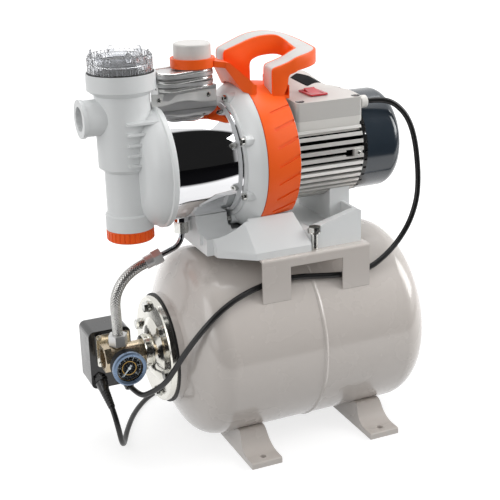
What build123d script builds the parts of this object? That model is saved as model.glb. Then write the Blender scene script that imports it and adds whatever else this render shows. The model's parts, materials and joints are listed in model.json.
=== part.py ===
from build123d import *
from math import asin, atan2, cos, degrees, hypot, pi, radians, sin, sqrt, tan
import os

# Booster pump set: a jet pump on a horizontal membrane tank, in millimetres.
# X runs along the tank from the flange to the fan, Y to the back, Z up.
# The origin is on the floor, in the middle of the four foot holes.

# Clearances
skin = 0.25
fit = 0.3
running_fit = 0.05

# Tank
tank_radius = 140.0
tank_lift = 10.0
tank_axis_z = tank_radius + tank_lift
tank_wall = 1.6
tank_half_length = 135.0
crown_radius = 240.0
knuckle_radius = 40.4
seat_radius = 80.0
seat_x = -197.5
mouth_radius = 47.0
lip_thickness = 3.0
bladder_wall = 2.5
bladder_radius = 118.0
bladder_left = -165.0
bladder_right = 150.0
bladder_round = 70.0
weld_width = 7.0
weld_height = 1.6
valve_radius = 5.0
valve_length = 16.0
valve_cap_radius = 9.0

# Counter-flange
flange_radius = 77.0
flange_sheet = 3.0
flange_depth = 9.1
flange_boss_radius = 46.0
flange_boss_height = 9.0
flange_neck_radius = 24.0
flange_neck_length = 9.0
flange_bolt_count = 6
flange_bolt_circle = 62.0
flange_bolt_turn = 15.0
flange_bolt_flats = 13.0
flange_bolt_head = 5.5
flange_bolt_shank = 4.0

# Feet
foot_spacing_x = 192.0
foot_width = 47.0
foot_sheet = 2.5
foot_half_length = 141.0
foot_hole_inset = 14.0
foot_spacing_y = 2 * (foot_half_length - foot_hole_inset)
foot_pad_z = 9.0
foot_pad_length = 27.0
foot_hole_radius = 4.5
foot_shoulder_z = 36.0
foot_top_width = 39.0

# Saddle bracket
saddle_rise = 8.0
saddle_top_z = tank_axis_z + tank_radius + saddle_rise
saddle_half_length = 83.7
saddle_half_width = 111.5
saddle_sheet = 3.0
saddle_leg_width = 42.8
saddle_flange_depth = 14.5
saddle_bend = 4.0

# Pump axis
pump_axis_z = saddle_top_z + 124.0

# Stainless pump casing
casing_radius = 77.6
casing_wall = 1.2
casing_left = -192.0
casing_right = -91.6

# Pump cover with the filter housing
rim_radius = 86.0
rim_left = -196.0
rim_right = -187.5
dome_face_x = -226.5
filter_x = -233.0
filter_wall = 3.0
filter_collar_radius = 46.5
filter_collar_bottom = pump_axis_z + 111.0
filter_collar_top = filter_collar_bottom + 22.0
filter_body_radius = 37.5
filter_body_top = pump_axis_z + 104.0
filter_body_bottom = pump_axis_z + 6.0
filter_lower_radius = 30.0
filter_lower_bottom = pump_axis_z - 59.0
suction_axis_z = pump_axis_z + 75.5
suction_face_x = -293.5
suction_radius = 24.5
suction_bore_radius = 16.6
suction_thread_length = 20.0
rib_count = 5
rib_pitch = 14.0
rib_top_z = pump_axis_z + 69.5
rib_thickness = 3.4
rib_left = -241.0
rib_reach_y = 44.0

# Filter lid, seal, cartridge and bottom parts
lid_radius = 43.5
lid_wall = 3.0
lid_bottom_z = pump_axis_z + 135.0
lid_height = 22.0
lid_top_z = lid_bottom_z + lid_height
lid_skirt_depth = 13.0
lid_flute_count = 40
lid_flute_depth = 0.9
lid_lug_count = 6
lid_lug_height = 6.5
lid_lug_radius = 5.0
lid_lug_thickness = 4.0
lid_lug_circle = 34.0
seal_radius = 43.0
seal_section = 1.7
cartridge_radius = 27.0
cartridge_wall = 1.5
cartridge_slots = 20
cartridge_bottom_z = pump_axis_z + 14.0
cartridge_top_z = lid_top_z - 9.0
collar_radius = 33.0
bottom_collar_z = pump_axis_z - 82.0
bottom_cap_z = pump_axis_z - 98.0
bottom_cap_flutes = 30
poppet_radius = 11.0
poppet_travel = 8.0

# Motor bracket
bracket_lip_radius = 84.0
bracket_outer_radius = 103.0
bracket_shoulder_x = -68.0
bracket_right = -15.0
bracket_drum_radius = 95.0
bracket_wall = 5.0
bracket_hub_radius = 24.0
casing_screw_count = 7
casing_screw_circle = 88.0
casing_screw_radius = 3.0
casing_screw_head = 5.0
screw_boss_radius = 7.5

# Handle with its band and cap ring
band_left = -67.0
band_right = -17.0
band_radius_left = 103.0
band_radius_right = 98.5
band_open_angle = 44.0
groove_count = 7
groove_pitch = 14.0
groove_depth = 2.0
groove_width = 4.0
groove_length = 36.0
groove_tilt = 20.0
grip_radius = 48.0
grip_bar = 22.0
grip_left_centre = -44.0
grip_right_centre = 0.0
grip_height = 21.0
grip_front_left_z = pump_axis_z + 129.0
grip_right_z = pump_axis_z + 144.0
grip_crown_z = pump_axis_z + 162.0
grip_left_z = pump_axis_z + 148.0
leg_left = -34.0
leg_right = -9.0
rear_leg_left = -62.0
rear_leg_right = -38.0
inlay_thickness = 3.0
inlay_margin = 2.2
cap_x = -131.0
cap_ring_radius = 30.5
cap_ring_bottom = pump_axis_z + 130.5
cap_ring_top = cap_ring_bottom + 12.5

# Discharge head and filling cap
head_left = -198.0
head_right = -104.0
head_half_width = 44.0
head_shoulder_z = pump_axis_z + 106.0
head_skirt_z = pump_axis_z + 83.0
head_fin_count = 2
head_fin_pitch = 11.5
head_fin_first_z = pump_axis_z + 107.5
head_fin_thickness = 4.0
head_fin_radius = 30.0
head_core_radius = 22.0
head_top_z = pump_axis_z + 127.5
neck_radius = 19.0
neck_top_z = pump_axis_z + 150.0
cap_radius = 25.5
cap_wall = 4.0
cap_top_z = pump_axis_z + 163.0

# Motor
housing_left = -14.5
housing_right = 94.0
housing_core_radius = 64.0
housing_bore_radius = 56.0
fin_radius = 74.0
fin_count = 44
fin_thickness = 5.4
shield_right = 101.0
shield_slots = 36
shaft_radius = 7.0
shaft_left = -126.0
shaft_right = 134.0
bearing_radius = 17.5
bearing_width = 11.0
front_bearing_x = -22.0
rear_bearing_x = 84.0
rotor_radius = 30.0
rotor_left = 6.0
rotor_right = 70.0
stator_inner_radius = 30.8
fan_hub_radius = 14.0
fan_radius = 62.0
fan_blades = 8
fan_left = 108.0
fan_width = 22.0
fan_cover_radius = 72.5
fan_cover_wall = 2.2
fan_cover_right = 161.0
fan_cover_round = 17.0
grille_slots = 18

# Impeller, diffuser and jet
impeller_radius = 58.0
impeller_left = -120.0
impeller_width = 14.0
impeller_vanes = 6
diffuser_radius = 68.0
diffuser_left = -176.0
jet_bore = 12.0
nozzle_radius = 9.0
seal_ring_radius = 16.0

# Terminal box
box_left = -5.0
box_right = 98.0
box_front = -62.0
box_back = 54.0
box_bottom = pump_axis_z + 29.0
box_lid_split = box_bottom + 21.0
box_top_z = box_lid_split + 28.0
box_wall = 3.0
box_crown = 6.0
rocker_x = 42.0
rocker_y = -19.0
rocker_length = 36.0
rocker_width = 22.0
gland_y = -52.0
gland_z = pump_axis_z + 66.5

# Pump base
base_left = -132.0
base_right = 78.0
base_bolt_x = 3.0
base_bolt_y = 97.0
base_front = 104.0
base_panel_right = -4.0
base_skirt = 10.0
base_wall = 4.0
tray_floor_z = saddle_top_z + 24.0
tray_top_z = tray_floor_z + 24.0

# Five-way fitting, gauge and pressure switch
fitting_x = -262.0
fitting_radius = 17.0
fitting_bore = 14.0
fitting_left = -286.0
fitting_hex_flats = 30.0
side_port_radius = 8.0
top_port_radius = 9.5
hose_bottom_z = tank_axis_z + 26.0
hose_nut_flats = 24.0
gauge_radius = 24.5
gauge_face_y = -52.0
gauge_depth = 26.0
switch_plate_y = 26.0
switch_plate_size = 50.0
switch_left = -297.0
switch_right = -234.0
switch_front = 31.0
switch_back = 84.0
switch_bottom = tank_axis_z - 61.0
switch_top = tank_axis_z + 29.0
switch_gland_x = 18.5
switch_gland_z = tank_axis_z - 44.0
switch_gland_tilt = 30.0
gland_radius = 9.0
gland_length = 26.0

# Hose, tube and leads
hose_radius = 7.5
tube_radius = 4.0
lead_radius = 4.0
plug_radius = 19.0
coil_x = -60.0
coil_y = 205.0
coil_radius = 44.0
coil_section = 12.0


def rod_x(radius, x0, x1, y=0.0, z=0.0):
    return Pos(x0, y, z) * Rot(0, 90, 0) * Cylinder(radius, x1 - x0, align=(Align.CENTER, Align.CENTER, Align.MIN))


def rod_y(radius, y0, y1, x=0.0, z=0.0):
    return Pos(x, y0, z) * Rot(-90, 0, 0) * Cylinder(radius, y1 - y0, align=(Align.CENTER, Align.CENTER, Align.MIN))


def rod_z(radius, z0, z1, x=0.0, y=0.0):
    return Pos(x, y, z0) * Cylinder(radius, z1 - z0, align=(Align.CENTER, Align.CENTER, Align.MIN))


def block(x0, x1, y0, y1, z0, z1):
    return Pos((x0 + x1) / 2, (y0 + y1) / 2, (z0 + z1) / 2) * Box(x1 - x0, y1 - y0, z1 - z0)


def along_x(outline, x0, x1, y=0.0, z=0.0):
    # The outline is drawn as (y, z).
    return extrude(Plane.YZ.offset(x0) * Pos(y, z) * outline, amount=x1 - x0)


def along_y(outline, y0, y1, x=0.0, z=0.0):
    # The outline is drawn as (x, z).
    return extrude(Plane.XZ.offset(-y1) * Pos(x, z) * outline, amount=y1 - y0)


def along_z(outline, z0, z1, x=0.0, y=0.0):
    # The outline is drawn as (x, y).
    return extrude(Pos(x, y, z0) * outline, amount=z1 - z0)


def loop(*points):
    return make_face(Polyline(*points, close=True))


def turned_x(z, *points):
    # A profile of (x, radius) points, turned round the axis at height z.
    return Pos(0, 0, z) * revolve(loop(*points), Axis.X)


def turned_z(x, y, *points):
    # A profile of (radius, z) points, turned round a vertical axis.
    return Pos(x, y, 0) * revolve(Plane.XZ * loop(*points), Axis.Z)


def hexagon(flats):
    return RegularPolygon(flats / 2, 6, major_radius=False)


def ring_of(count, radius, start=0.0):
    # Angles and (y, z) places on a circle, counted from +Y towards +Z.
    places = []
    for index in range(count):
        angle = start + index * 360.0 / count
        places.append((angle, radius * cos(radians(angle)), radius * sin(radians(angle))))
    return places


def node(name, shape):
    shape.label = name
    export_step(shape, "parts/" + name + ".step")


def smooth_tube(radius, points):
    # Straight runs joined by tangent arcs, each as large as its two runs allow.
    bends = []
    for before, corner, after in zip(points, points[1:], points[2:]):
        first = Vector(*corner) - Vector(*before)
        second = Vector(*after) - Vector(*corner)
        half_turn = radians(first.get_angle(second)) / 2
        bends.append(0.45 * min(first.length, second.length) / tan(half_turn))
    path = FilletPolyline(*points, radius=bends)
    start = Plane(origin=points[0], z_dir=path % 0)
    tube = sweep(start * Circle(radius), path=path)
    expected = pi * radius ** 2 * path.length
    print("bend radii", [round(bend) for bend in bends], "length", round(path.length, 1),
          "volume ratio", round(tube.volume / expected, 4))
    return tube


os.makedirs("parts", exist_ok=True)

# Tank shell, in two welded halves
def tank_outer(grow=0.0):
    # A cylinder between two dished ends, each a crown with a knuckle.
    radius = tank_radius + grow
    crown = crown_radius + grow
    knuckle = knuckle_radius + grow
    knuckle_y = radius - knuckle
    crown_x = tank_half_length - sqrt((crown - knuckle) ** 2 - knuckle_y ** 2)
    lean = asin(knuckle_y / (crown - knuckle))
    joint = (crown_x + crown * cos(lean), crown * sin(lean))
    half = lean / 2 + pi / 4
    on_knuckle = (tank_half_length + knuckle * cos(half), knuckle_y + knuckle * sin(half))
    on_crown = (crown_x + crown * cos(lean / 2), crown * sin(lean / 2))
    tip = (crown_x + crown, 0)
    dome = make_face(
        Line((tank_half_length, 0), (tank_half_length, radius))
        + ThreePointArc((tank_half_length, radius), on_knuckle, joint)
        + ThreePointArc(joint, on_crown, tip) + Line(tip, (tank_half_length, 0)))
    right_dome = Pos(0, 0, tank_axis_z) * revolve(dome, Axis.X)
    left_dome = mirror(right_dome, about=Plane.YZ)
    return rod_x(radius, -tank_half_length, tank_half_length, z=tank_axis_z) + right_dome + left_dome


dome_depth = crown_radius - sqrt((crown_radius - knuckle_radius) ** 2 - (tank_radius - knuckle_radius) ** 2)
tank_end_x = tank_half_length + dome_depth
half_space = tank_end_x + 60
tank_hollow = tank_outer(-tank_wall)
seat_neck = rod_x(seat_radius, seat_x, seat_x + 40, z=tank_axis_z)
tank_solid = (tank_outer() - rod_x(seat_radius, -half_space, seat_x + 8, z=tank_axis_z)) + seat_neck
neck_hollow = rod_x(seat_radius - tank_wall, seat_x + tank_wall, seat_x + 40, z=tank_axis_z)
tank_mouth = rod_x(mouth_radius, seat_x - 1, seat_x + 40, z=tank_axis_z)
valve_hole = rod_x(valve_radius, tank_end_x - 12, tank_end_x + 1, z=tank_axis_z)
tank_shell = tank_solid - tank_hollow - neck_hollow - tank_mouth - valve_hole
bead_half = weld_width / 2
bead_root = tank_radius - tank_wall / 2
bead = make_face(
    ThreePointArc((-bead_half, tank_radius), (0, tank_radius + weld_height), (bead_half, tank_radius))
    + Line((bead_half, tank_radius), (bead_half, bead_root)) + Line((bead_half, bead_root), (-bead_half, bead_root))
    + Line((-bead_half, bead_root), (-bead_half, tank_radius)))
tank_shell += Pos(0, 0, tank_axis_z) * revolve(bead, Axis.X)
tank_left = tank_shell & block(-half_space, 0, -200, 200, -60, 360)
for angle, y, z in ring_of(flange_bolt_count, flange_bolt_circle, flange_bolt_turn):
    tank_left -= rod_x(flange_bolt_shank + skin, seat_x - 5, seat_x + 12, y, tank_axis_z + z)
node("tank_left_half", tank_left)
node("tank_right_half", tank_shell & block(0, half_space, -200, 200, -60, 360))

# Air valve and its cap, in the middle of the right dome
valve_body = rod_x(valve_radius - skin, tank_end_x - 10, tank_end_x + valve_length, z=tank_axis_z)
valve_nut = along_x(hexagon(2 * valve_radius + 4), tank_end_x + skin, tank_end_x + 5, z=tank_axis_z)
node("air_valve", valve_body + valve_nut)
valve_cap = rod_x(valve_cap_radius, tank_end_x + 5.5, tank_end_x + valve_length + 4, z=tank_axis_z)
node("air_valve_cap", valve_cap - rod_x(valve_radius + 0.1, tank_end_x, tank_end_x + valve_length + 1, z=tank_axis_z))

# Rubber membrane with its lip between the tank and the counter-flange
def bladder(shrink):
    bag = rod_x(bladder_radius - shrink, bladder_left + shrink, bladder_right - shrink, z=tank_axis_z)
    bag = fillet(bag.edges().filter_by(GeomType.CIRCLE), bladder_round - shrink)
    return bag + rod_x(mouth_radius - 3 - shrink, seat_x - lip_thickness, -100, z=tank_axis_z)


lip = rod_x(seat_radius, seat_x - lip_thickness, seat_x, z=tank_axis_z)
membrane = (bladder(0) + lip) - bladder(bladder_wall)
membrane -= rod_x(mouth_radius - 3 - bladder_wall, seat_x - lip_thickness - 1, -150, z=tank_axis_z)
for angle, y, z in ring_of(flange_bolt_count, flange_bolt_circle, flange_bolt_turn):
    hole = rod_x(flange_bolt_shank + skin, seat_x - 40, seat_x + 10, y, tank_axis_z + z)
    membrane -= hole
node("membrane", membrane)

# Counter-flange: a dished disc with a turned-back rim and a threaded neck
flange_back = seat_x - lip_thickness
flange_front = flange_back - flange_depth
boss_front = flange_front - flange_boss_height
neck_front = boss_front - flange_neck_length
flange_slope = 12.0
flange = turned_x(
    tank_axis_z,
    (neck_front, fitting_bore),
    (neck_front, flange_neck_radius - 1.5),
    (neck_front + 1.5, flange_neck_radius),
    (boss_front, flange_neck_radius),
    (boss_front + 1.5, flange_boss_radius - flange_slope),
    (flange_front, flange_boss_radius),
    (flange_front, flange_radius - 2),
    (flange_front + 2, flange_radius),
    (flange_back, flange_radius),
    (flange_back, flange_radius - flange_sheet),
    (flange_front + flange_sheet, flange_radius - flange_sheet),
    (flange_front + flange_sheet, flange_boss_radius + 1),
    (boss_front + flange_sheet + 1, flange_boss_radius - flange_slope),
    (boss_front + flange_sheet + 1, fitting_bore))
flange_pads = []
flange_bolts = []
for angle, y, z in ring_of(flange_bolt_count, flange_bolt_circle, flange_bolt_turn):
    flange_pads.append(rod_x(9, flange_front + 1, flange_back, y, tank_axis_z + z))
flange += flange_pads
for angle, y, z in ring_of(flange_bolt_count, flange_bolt_circle, flange_bolt_turn):
    flange -= rod_x(flange_bolt_shank + skin, flange_front - 5, flange_back + 5, y, tank_axis_z + z)
    head = along_x(Rot(0, 0, angle) * hexagon(flange_bolt_flats), flange_front - flange_bolt_head - 1.5,
                   flange_front - 1.5, y, tank_axis_z + z)
    washer = rod_x(flange_bolt_flats / 2 + 2, flange_front - 1.5, flange_front, y, tank_axis_z + z)
    shank = rod_x(flange_bolt_shank, flange_front - 2, seat_x + tank_wall + 6, y, tank_axis_z + z)
    flange_bolts.append(head + washer + shank)
node("counter_flange", flange)
node("flange_bolts", Compound(children=flange_bolts))

# Feet: pressed channels that rise in a curve to the tank
pad_edge = foot_half_length - foot_pad_length
tank_bed = tank_radius + skin
shoulder_y = sqrt(tank_bed ** 2 - (tank_axis_z - foot_shoulder_z) ** 2)


def foot_side():
    # Side view: pads, a concave rise, a rounded shoulder and the bed of the tank.
    rise_y = shoulder_y + 14.3
    pad_inner = pad_edge + 8
    rise = foot_shoulder_z - 10 - foot_pad_z
    right = (
        Line((foot_half_length, 0), (foot_half_length, foot_pad_z - 1.5))
        + Line((foot_half_length, foot_pad_z - 1.5), (foot_half_length - 1.5, foot_pad_z))
        + Line((foot_half_length - 1.5, foot_pad_z), (pad_inner, foot_pad_z))
        + ThreePointArc((pad_inner, foot_pad_z), (rise_y + 0.35 * (pad_inner - rise_y), foot_pad_z + 0.35 * rise),
                        (rise_y, foot_shoulder_z - 10))
        + ThreePointArc((rise_y, foot_shoulder_z - 10), (rise_y - 4, foot_shoulder_z - 3), (shoulder_y + 6, foot_shoulder_z))
        + Line((shoulder_y + 6, foot_shoulder_z), (shoulder_y, foot_shoulder_z)))
    left = mirror(right, about=Plane.YZ)
    bed = ThreePointArc((shoulder_y, foot_shoulder_z), (0, tank_axis_z - tank_bed), (-shoulder_y, foot_shoulder_z))
    floor = Line((-foot_half_length, 0), (foot_half_length, 0))
    return make_face(right + bed + left + floor)


def foot_front(inset):
    # Front view: the channel narrows a little from the pad to the shoulder.
    low = foot_width / 2 - inset
    high = foot_top_width / 2 - inset
    return loop((-low, -1), (low, -1), (low, foot_pad_z), (high, foot_shoulder_z + 1), (-high, foot_shoulder_z + 1),
                (-low, foot_pad_z))


def foot(x):
    side = foot_side()
    inner_side = offset(side, -foot_sheet, kind=Kind.INTERSECTION)
    inner_side += Pos(0, 1) * Rectangle(2 * (foot_half_length - foot_sheet), 4)
    outer = along_x(side, x - foot_width / 2, x + foot_width / 2)
    outer &= along_y(foot_front(0), -foot_half_length, foot_half_length, x)
    inner = along_x(inner_side, x - foot_width / 2, x + foot_width / 2)
    inner &= along_y(foot_front(foot_sheet), -foot_half_length, foot_half_length, x)
    channel = outer - inner
    for side_sign in (-1, 1):
        channel += rod_z(foot_hole_radius + foot_sheet, 0, foot_pad_z - 1, x, side_sign * foot_spacing_y / 2)
        channel -= rod_z(foot_hole_radius, -1, foot_pad_z + 1, x, side_sign * foot_spacing_y / 2)
    return channel


node("left_foot", foot(-foot_spacing_x / 2))
node("right_foot", foot(foot_spacing_x / 2))

# Saddle bracket: a bench of bent sheet with four legs welded to the tank
leg_reach_z = tank_axis_z + sqrt(tank_radius ** 2 - saddle_half_width ** 2)
bench = RectangleRounded(2 * saddle_half_width, 80, saddle_bend)
bench_hollow = RectangleRounded(2 * (saddle_half_width - saddle_sheet), 80, saddle_bend - saddle_sheet + 0.5)
bench_z = saddle_top_z - 40
saddle = along_x(bench, -saddle_half_length, saddle_half_length, z=bench_z)
saddle -= along_x(bench_hollow, -saddle_half_length - 1, saddle_half_length + 1, z=bench_z - saddle_sheet)
saddle -= rod_x(tank_radius + skin, -saddle_half_length - 1, saddle_half_length + 1, z=tank_axis_z)
leg_gap_half = saddle_half_length - saddle_leg_width
saddle -= block(-leg_gap_half, leg_gap_half, -200, 200, 100, saddle_top_z - saddle_flange_depth)
for x in (-60.0, base_bolt_x):
    for side in (-1, 1):
        saddle -= rod_z(5.25, saddle_top_z - 10, saddle_top_z + 1, x, side * base_bolt_y)
node("saddle_bracket", saddle)

# Stainless pump casing with its bottom port
casing = rod_x(casing_radius, casing_left, casing_right, z=pump_axis_z)
casing -= rod_x(casing_radius - casing_wall, casing_left - 1, casing_right + 1, z=pump_axis_z)
port_x = -158.0
port_z = pump_axis_z - casing_radius
casing -= rod_z(5, port_z - 3, port_z + 6, port_x)
port_boss = rod_z(12, port_z - 8, port_z + 8, port_x) - rod_z(5, port_z - 9, port_z + 9, port_x)
port_boss -= rod_x(casing_radius - casing_wall / 2, casing_left, casing_right, z=pump_axis_z)
node("pump_casing", casing + port_boss)

# Pump cover: rim, dome, filter housing, suction port and ribs in one moulding
dome_line = (
    Line((rim_right, casing_radius + skin), (rim_right, rim_radius - 1))
    + Line((rim_right, rim_radius - 1), (rim_right - 1, rim_radius))
    + Line((rim_right - 1, rim_radius), (rim_left + 1.5, rim_radius))
    + Line((rim_left + 1.5, rim_radius), (rim_left, rim_radius - 2.5))
    + ThreePointArc((rim_left, rim_radius - 2.5), (dome_face_x + 9, rim_radius - 15.5), (dome_face_x + 2, rim_radius - 36))
    + ThreePointArc((dome_face_x + 2, rim_radius - 36), (dome_face_x + 0.5, 25), (dome_face_x, 0))
    + Line((dome_face_x, 0), (casing_left - skin, 0))
    + Line((casing_left - skin, 0), (casing_left - skin, casing_radius + skin))
    + Line((casing_left - skin, casing_radius + skin), (rim_right, casing_radius + skin)))
cover = Pos(0, 0, pump_axis_z) * revolve(make_face(dome_line), Axis.X)
filter_shell = turned_z(
    filter_x, 0,
    (0, filter_lower_bottom),
    (filter_lower_radius, filter_lower_bottom),
    (filter_lower_radius, filter_body_bottom - 6),
    (filter_body_radius, filter_body_bottom),
    (filter_body_radius, filter_body_top),
    (filter_collar_radius, filter_collar_bottom),
    (filter_collar_radius, filter_collar_top),
    (0, filter_collar_top))
suction_tube = rod_x(suction_radius, suction_face_x, filter_x, z=suction_axis_z)
suction_rim = rod_x(suction_radius + 1.5, suction_face_x, suction_face_x + 5, z=suction_axis_z)
ribs = []
for index in range(rib_count):
    z = rib_top_z - index * rib_pitch
    ribs.append(block(rib_left, rim_left - 2, -rib_reach_y, rib_reach_y, z - rib_thickness / 2, z + rib_thickness / 2))
spine = block(filter_x, rim_left - 2, -14, 14, filter_body_bottom - 60, filter_body_top - 12)
bottom_collar = turned_z(
    filter_x, 0,
    (0, bottom_collar_z),
    (collar_radius, bottom_collar_z),
    (collar_radius, filter_lower_bottom - 2),
    (collar_radius - 2, filter_lower_bottom),
    (0, filter_lower_bottom + 1))
for piece in [filter_shell, suction_tube, suction_rim, spine, bottom_collar] + ribs:
    cover += piece
cover -= rod_z(collar_radius + 2 * fit, bottom_cap_z - 1, bottom_collar_z, filter_x)
filter_hollow = turned_z(
    filter_x, 0,
    (0, bottom_collar_z - 1),
    (filter_lower_radius - filter_wall, bottom_collar_z - 1),
    (filter_lower_radius - filter_wall, filter_body_bottom - 6),
    (filter_body_radius - filter_wall, filter_body_bottom),
    (filter_body_radius - filter_wall, filter_body_top),
    (filter_collar_radius - filter_wall - 2, filter_collar_bottom),
    (filter_collar_radius - filter_wall - 2, filter_collar_top + 1),
    (0, filter_collar_top + 1))
suction_bore = rod_x(suction_bore_radius, suction_face_x - 1, suction_face_x + suction_thread_length, z=suction_axis_z)
suction_bore += rod_x(suction_bore_radius - 3, suction_face_x, filter_x, z=suction_axis_z)
seal_groove = Pos(filter_x, 0, filter_collar_top) * Torus(seal_radius, seal_section + skin)
jet_passage = rod_x(nozzle_radius + skin, filter_x, casing_left + 1, z=pump_axis_z)
cover = cover - filter_hollow - suction_bore - seal_groove - jet_passage
head_notch = block(head_left - 2, rim_right + 1, -head_half_width - 1, head_half_width + 1, head_skirt_z - 1, 560)
cover -= head_notch - rod_z(filter_collar_radius + 1, 400, 600, filter_x)
valve_seat_z = filter_lower_bottom + 14
valve_seat = turned_z(
    filter_x, 0,
    (poppet_radius - 4, valve_seat_z),
    (filter_lower_radius - filter_wall + 1, valve_seat_z),
    (filter_lower_radius - filter_wall + 1, valve_seat_z + 4),
    (poppet_radius - 4, valve_seat_z + 4))
node("pump_cover", cover + valve_seat)

# Filter lid, its seal and the cartridge
lid_profile = turned_z(
    filter_x, 0,
    (0, lid_top_z),
    (lid_radius - 5, lid_top_z),
    (lid_radius - 1, lid_top_z - 3),
    (lid_radius, lid_bottom_z),
    (filter_collar_radius - filter_wall - 2.5, lid_bottom_z),
    (filter_collar_radius - filter_wall - 2.5, lid_bottom_z - lid_skirt_depth),
    (filter_collar_radius - filter_wall - 5.0, lid_bottom_z - lid_skirt_depth),
    (filter_collar_radius - filter_wall - 5.0, lid_top_z - lid_wall - 4),
    (filter_collar_radius - filter_wall - 9.0, lid_top_z - lid_wall),
    (0, lid_top_z - lid_wall))
flute_cuts = []
for index in range(lid_flute_count):
    angle = index * 360 / lid_flute_count
    flute = Pos(lid_radius + 0.9, 0, 0) * rod_z(1.6, lid_bottom_z + 1.5, lid_top_z - 4)
    flute_cuts.append(Pos(filter_x, 0, 0) * Rot(0, 0, angle) * flute)
lid = lid_profile - flute_cuts
lugs = []
for index in range(lid_lug_count):
    angle = 30 + index * 360 / lid_lug_count
    lug = rod_x(lid_lug_radius, -lid_lug_thickness / 2, lid_lug_thickness / 2, z=lid_top_z + lid_lug_height - lid_lug_radius)
    lug += block(-lid_lug_thickness / 2, lid_lug_thickness / 2, -lid_lug_radius, lid_lug_radius, lid_top_z - 1,
                 lid_top_z + lid_lug_height - lid_lug_radius)
    lugs.append(Pos(filter_x, 0, 0) * Rot(0, 0, angle) * Pos(lid_lug_circle, 0, 0) * lug)
lid += lugs
node("filter_lid", lid)
node("lid_seal", Pos(filter_x, 0, filter_collar_top) * Torus(seal_radius, seal_section))
cage = rod_z(cartridge_radius, cartridge_bottom_z, cartridge_top_z, filter_x)
cage -= rod_z(cartridge_radius - cartridge_wall, cartridge_bottom_z + 3, cartridge_top_z - 3, filter_x)
cage_slots = []
for index in range(cartridge_slots // 2):
    slot = block(-40, 40, -2.2, 2.2, cartridge_top_z - 22, cartridge_top_z - 6)
    cage_slots.append(Pos(filter_x, 0, 0) * Rot(0, 0, (index + 0.5) * 360 / cartridge_slots) * slot)
cage = cage - cage_slots
cartridge_foot = turned_z(
    filter_x, 0,
    (cartridge_radius - 6, filter_body_bottom - 16),
    (filter_lower_radius - filter_wall - skin, filter_body_bottom - 16),
    (filter_lower_radius - filter_wall - skin, filter_body_bottom - 8),
    (cartridge_radius - 3, filter_body_bottom - 4),
    (cartridge_radius, cartridge_bottom_z + 1),
    (cartridge_radius - 6, cartridge_bottom_z + 1))
node("filter_cartridge", cage + cartridge_foot)

# Bottom cap and the check valve poppet above it
cap_flutes = []
for index in range(bottom_cap_flutes):
    flute = Pos(collar_radius + 0.6, 0, 0) * rod_z(1.7, bottom_cap_z + 2.5, bottom_collar_z - 2)
    cap_flutes.append(Pos(filter_x, 0, 0) * Rot(0, 0, index * 360 / bottom_cap_flutes) * flute)
bottom_cap = turned_z(
    filter_x, 0,
    (0, bottom_cap_z + 3),
    (collar_radius - 6, bottom_cap_z + 3),
    (collar_radius - 5, bottom_cap_z),
    (collar_radius - 1.5, bottom_cap_z),
    (collar_radius, bottom_cap_z + 1.5),
    (collar_radius, bottom_collar_z - fit),
    (filter_lower_radius - filter_wall - fit, bottom_collar_z - fit),
    (filter_lower_radius - filter_wall - fit, bottom_collar_z + 10),
    (0, bottom_collar_z + 10))
node("bottom_cap", bottom_cap - cap_flutes)
poppet = rod_z(poppet_radius, valve_seat_z + 4.3, valve_seat_z + 8, filter_x)
poppet += rod_z(3, valve_seat_z - 8, valve_seat_z + 22, filter_x)
node("valve_poppet", poppet)

# Motor bracket: lobed lip, flare, drum and bearing hub
lip_lobes = [Circle(bracket_lip_radius)]
for angle, y, z in ring_of(casing_screw_count, casing_screw_circle, 180 - 180 / casing_screw_count):
    lip_lobes.append(Pos(y, z) * Circle(screw_boss_radius))
lip_outline = Sketch() + lip_lobes
bracket_lip = along_x(lip_outline, casing_right, casing_right + 8, z=pump_axis_z)
bracket_flare = turned_x(
    pump_axis_z,
    (casing_right + 3, bracket_lip_radius),
    (casing_right + 6, bracket_lip_radius + 5),
    (bracket_shoulder_x - 9, bracket_outer_radius - 5),
    (bracket_shoulder_x - 3, bracket_outer_radius - 1.2),
    (bracket_shoulder_x, bracket_outer_radius),
    (bracket_shoulder_x, bracket_drum_radius),
    (bracket_right, bracket_drum_radius),
    (bracket_right, bracket_drum_radius - bracket_wall),
    (bracket_shoulder_x + 8, bracket_drum_radius - bracket_wall),
    (bracket_shoulder_x + 8, bracket_hub_radius),
    (front_bearing_x + bearing_width / 2, bracket_hub_radius),
    (front_bearing_x + bearing_width / 2, shaft_radius + 6),
    (bracket_shoulder_x, shaft_radius + 6),
    (bracket_shoulder_x, seal_ring_radius + skin),
    (casing_right + 3, seal_ring_radius + skin))
bracket = bracket_lip + bracket_flare
bracket -= rod_x(bearing_radius, front_bearing_x - bearing_width / 2, 0, z=pump_axis_z)
bracket -= rod_x(casing_radius + skin, casing_right - 5, casing_right + 2, z=pump_axis_z)
bracket -= rod_x(diffuser_radius + 1, casing_right - 1, casing_right + 8, z=pump_axis_z)
casing_screws = []
for angle, y, z in ring_of(casing_screw_count, casing_screw_circle, 180 - 180 / casing_screw_count):
    rib = Rot(0, 0, angle) * loop((casing_screw_circle - 9, -6), (bracket_lip_radius + 9, -6), (bracket_lip_radius + 12, 0),
                                  (bracket_lip_radius + 9, 6), (casing_screw_circle - 9, 6))
    bracket += along_x(rib, casing_right, casing_right + 12, z=pump_axis_z)
    bracket -= rod_x(casing_screw_radius + skin, casing_right - 1, casing_right + 16, y, pump_axis_z + z)
    screw = rod_x(casing_screw_head, casing_right - 5, casing_right, y, pump_axis_z + z)
    screw -= along_x(hexagon(5), casing_right - 6, casing_right - 2, y, pump_axis_z + z)
    screw += rod_x(casing_screw_radius, casing_right - 1, casing_right + 14, y, pump_axis_z + z)
    casing_screws.append(screw)
node("motor_bracket", bracket)
node("casing_screws", Compound(children=casing_screws))

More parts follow.
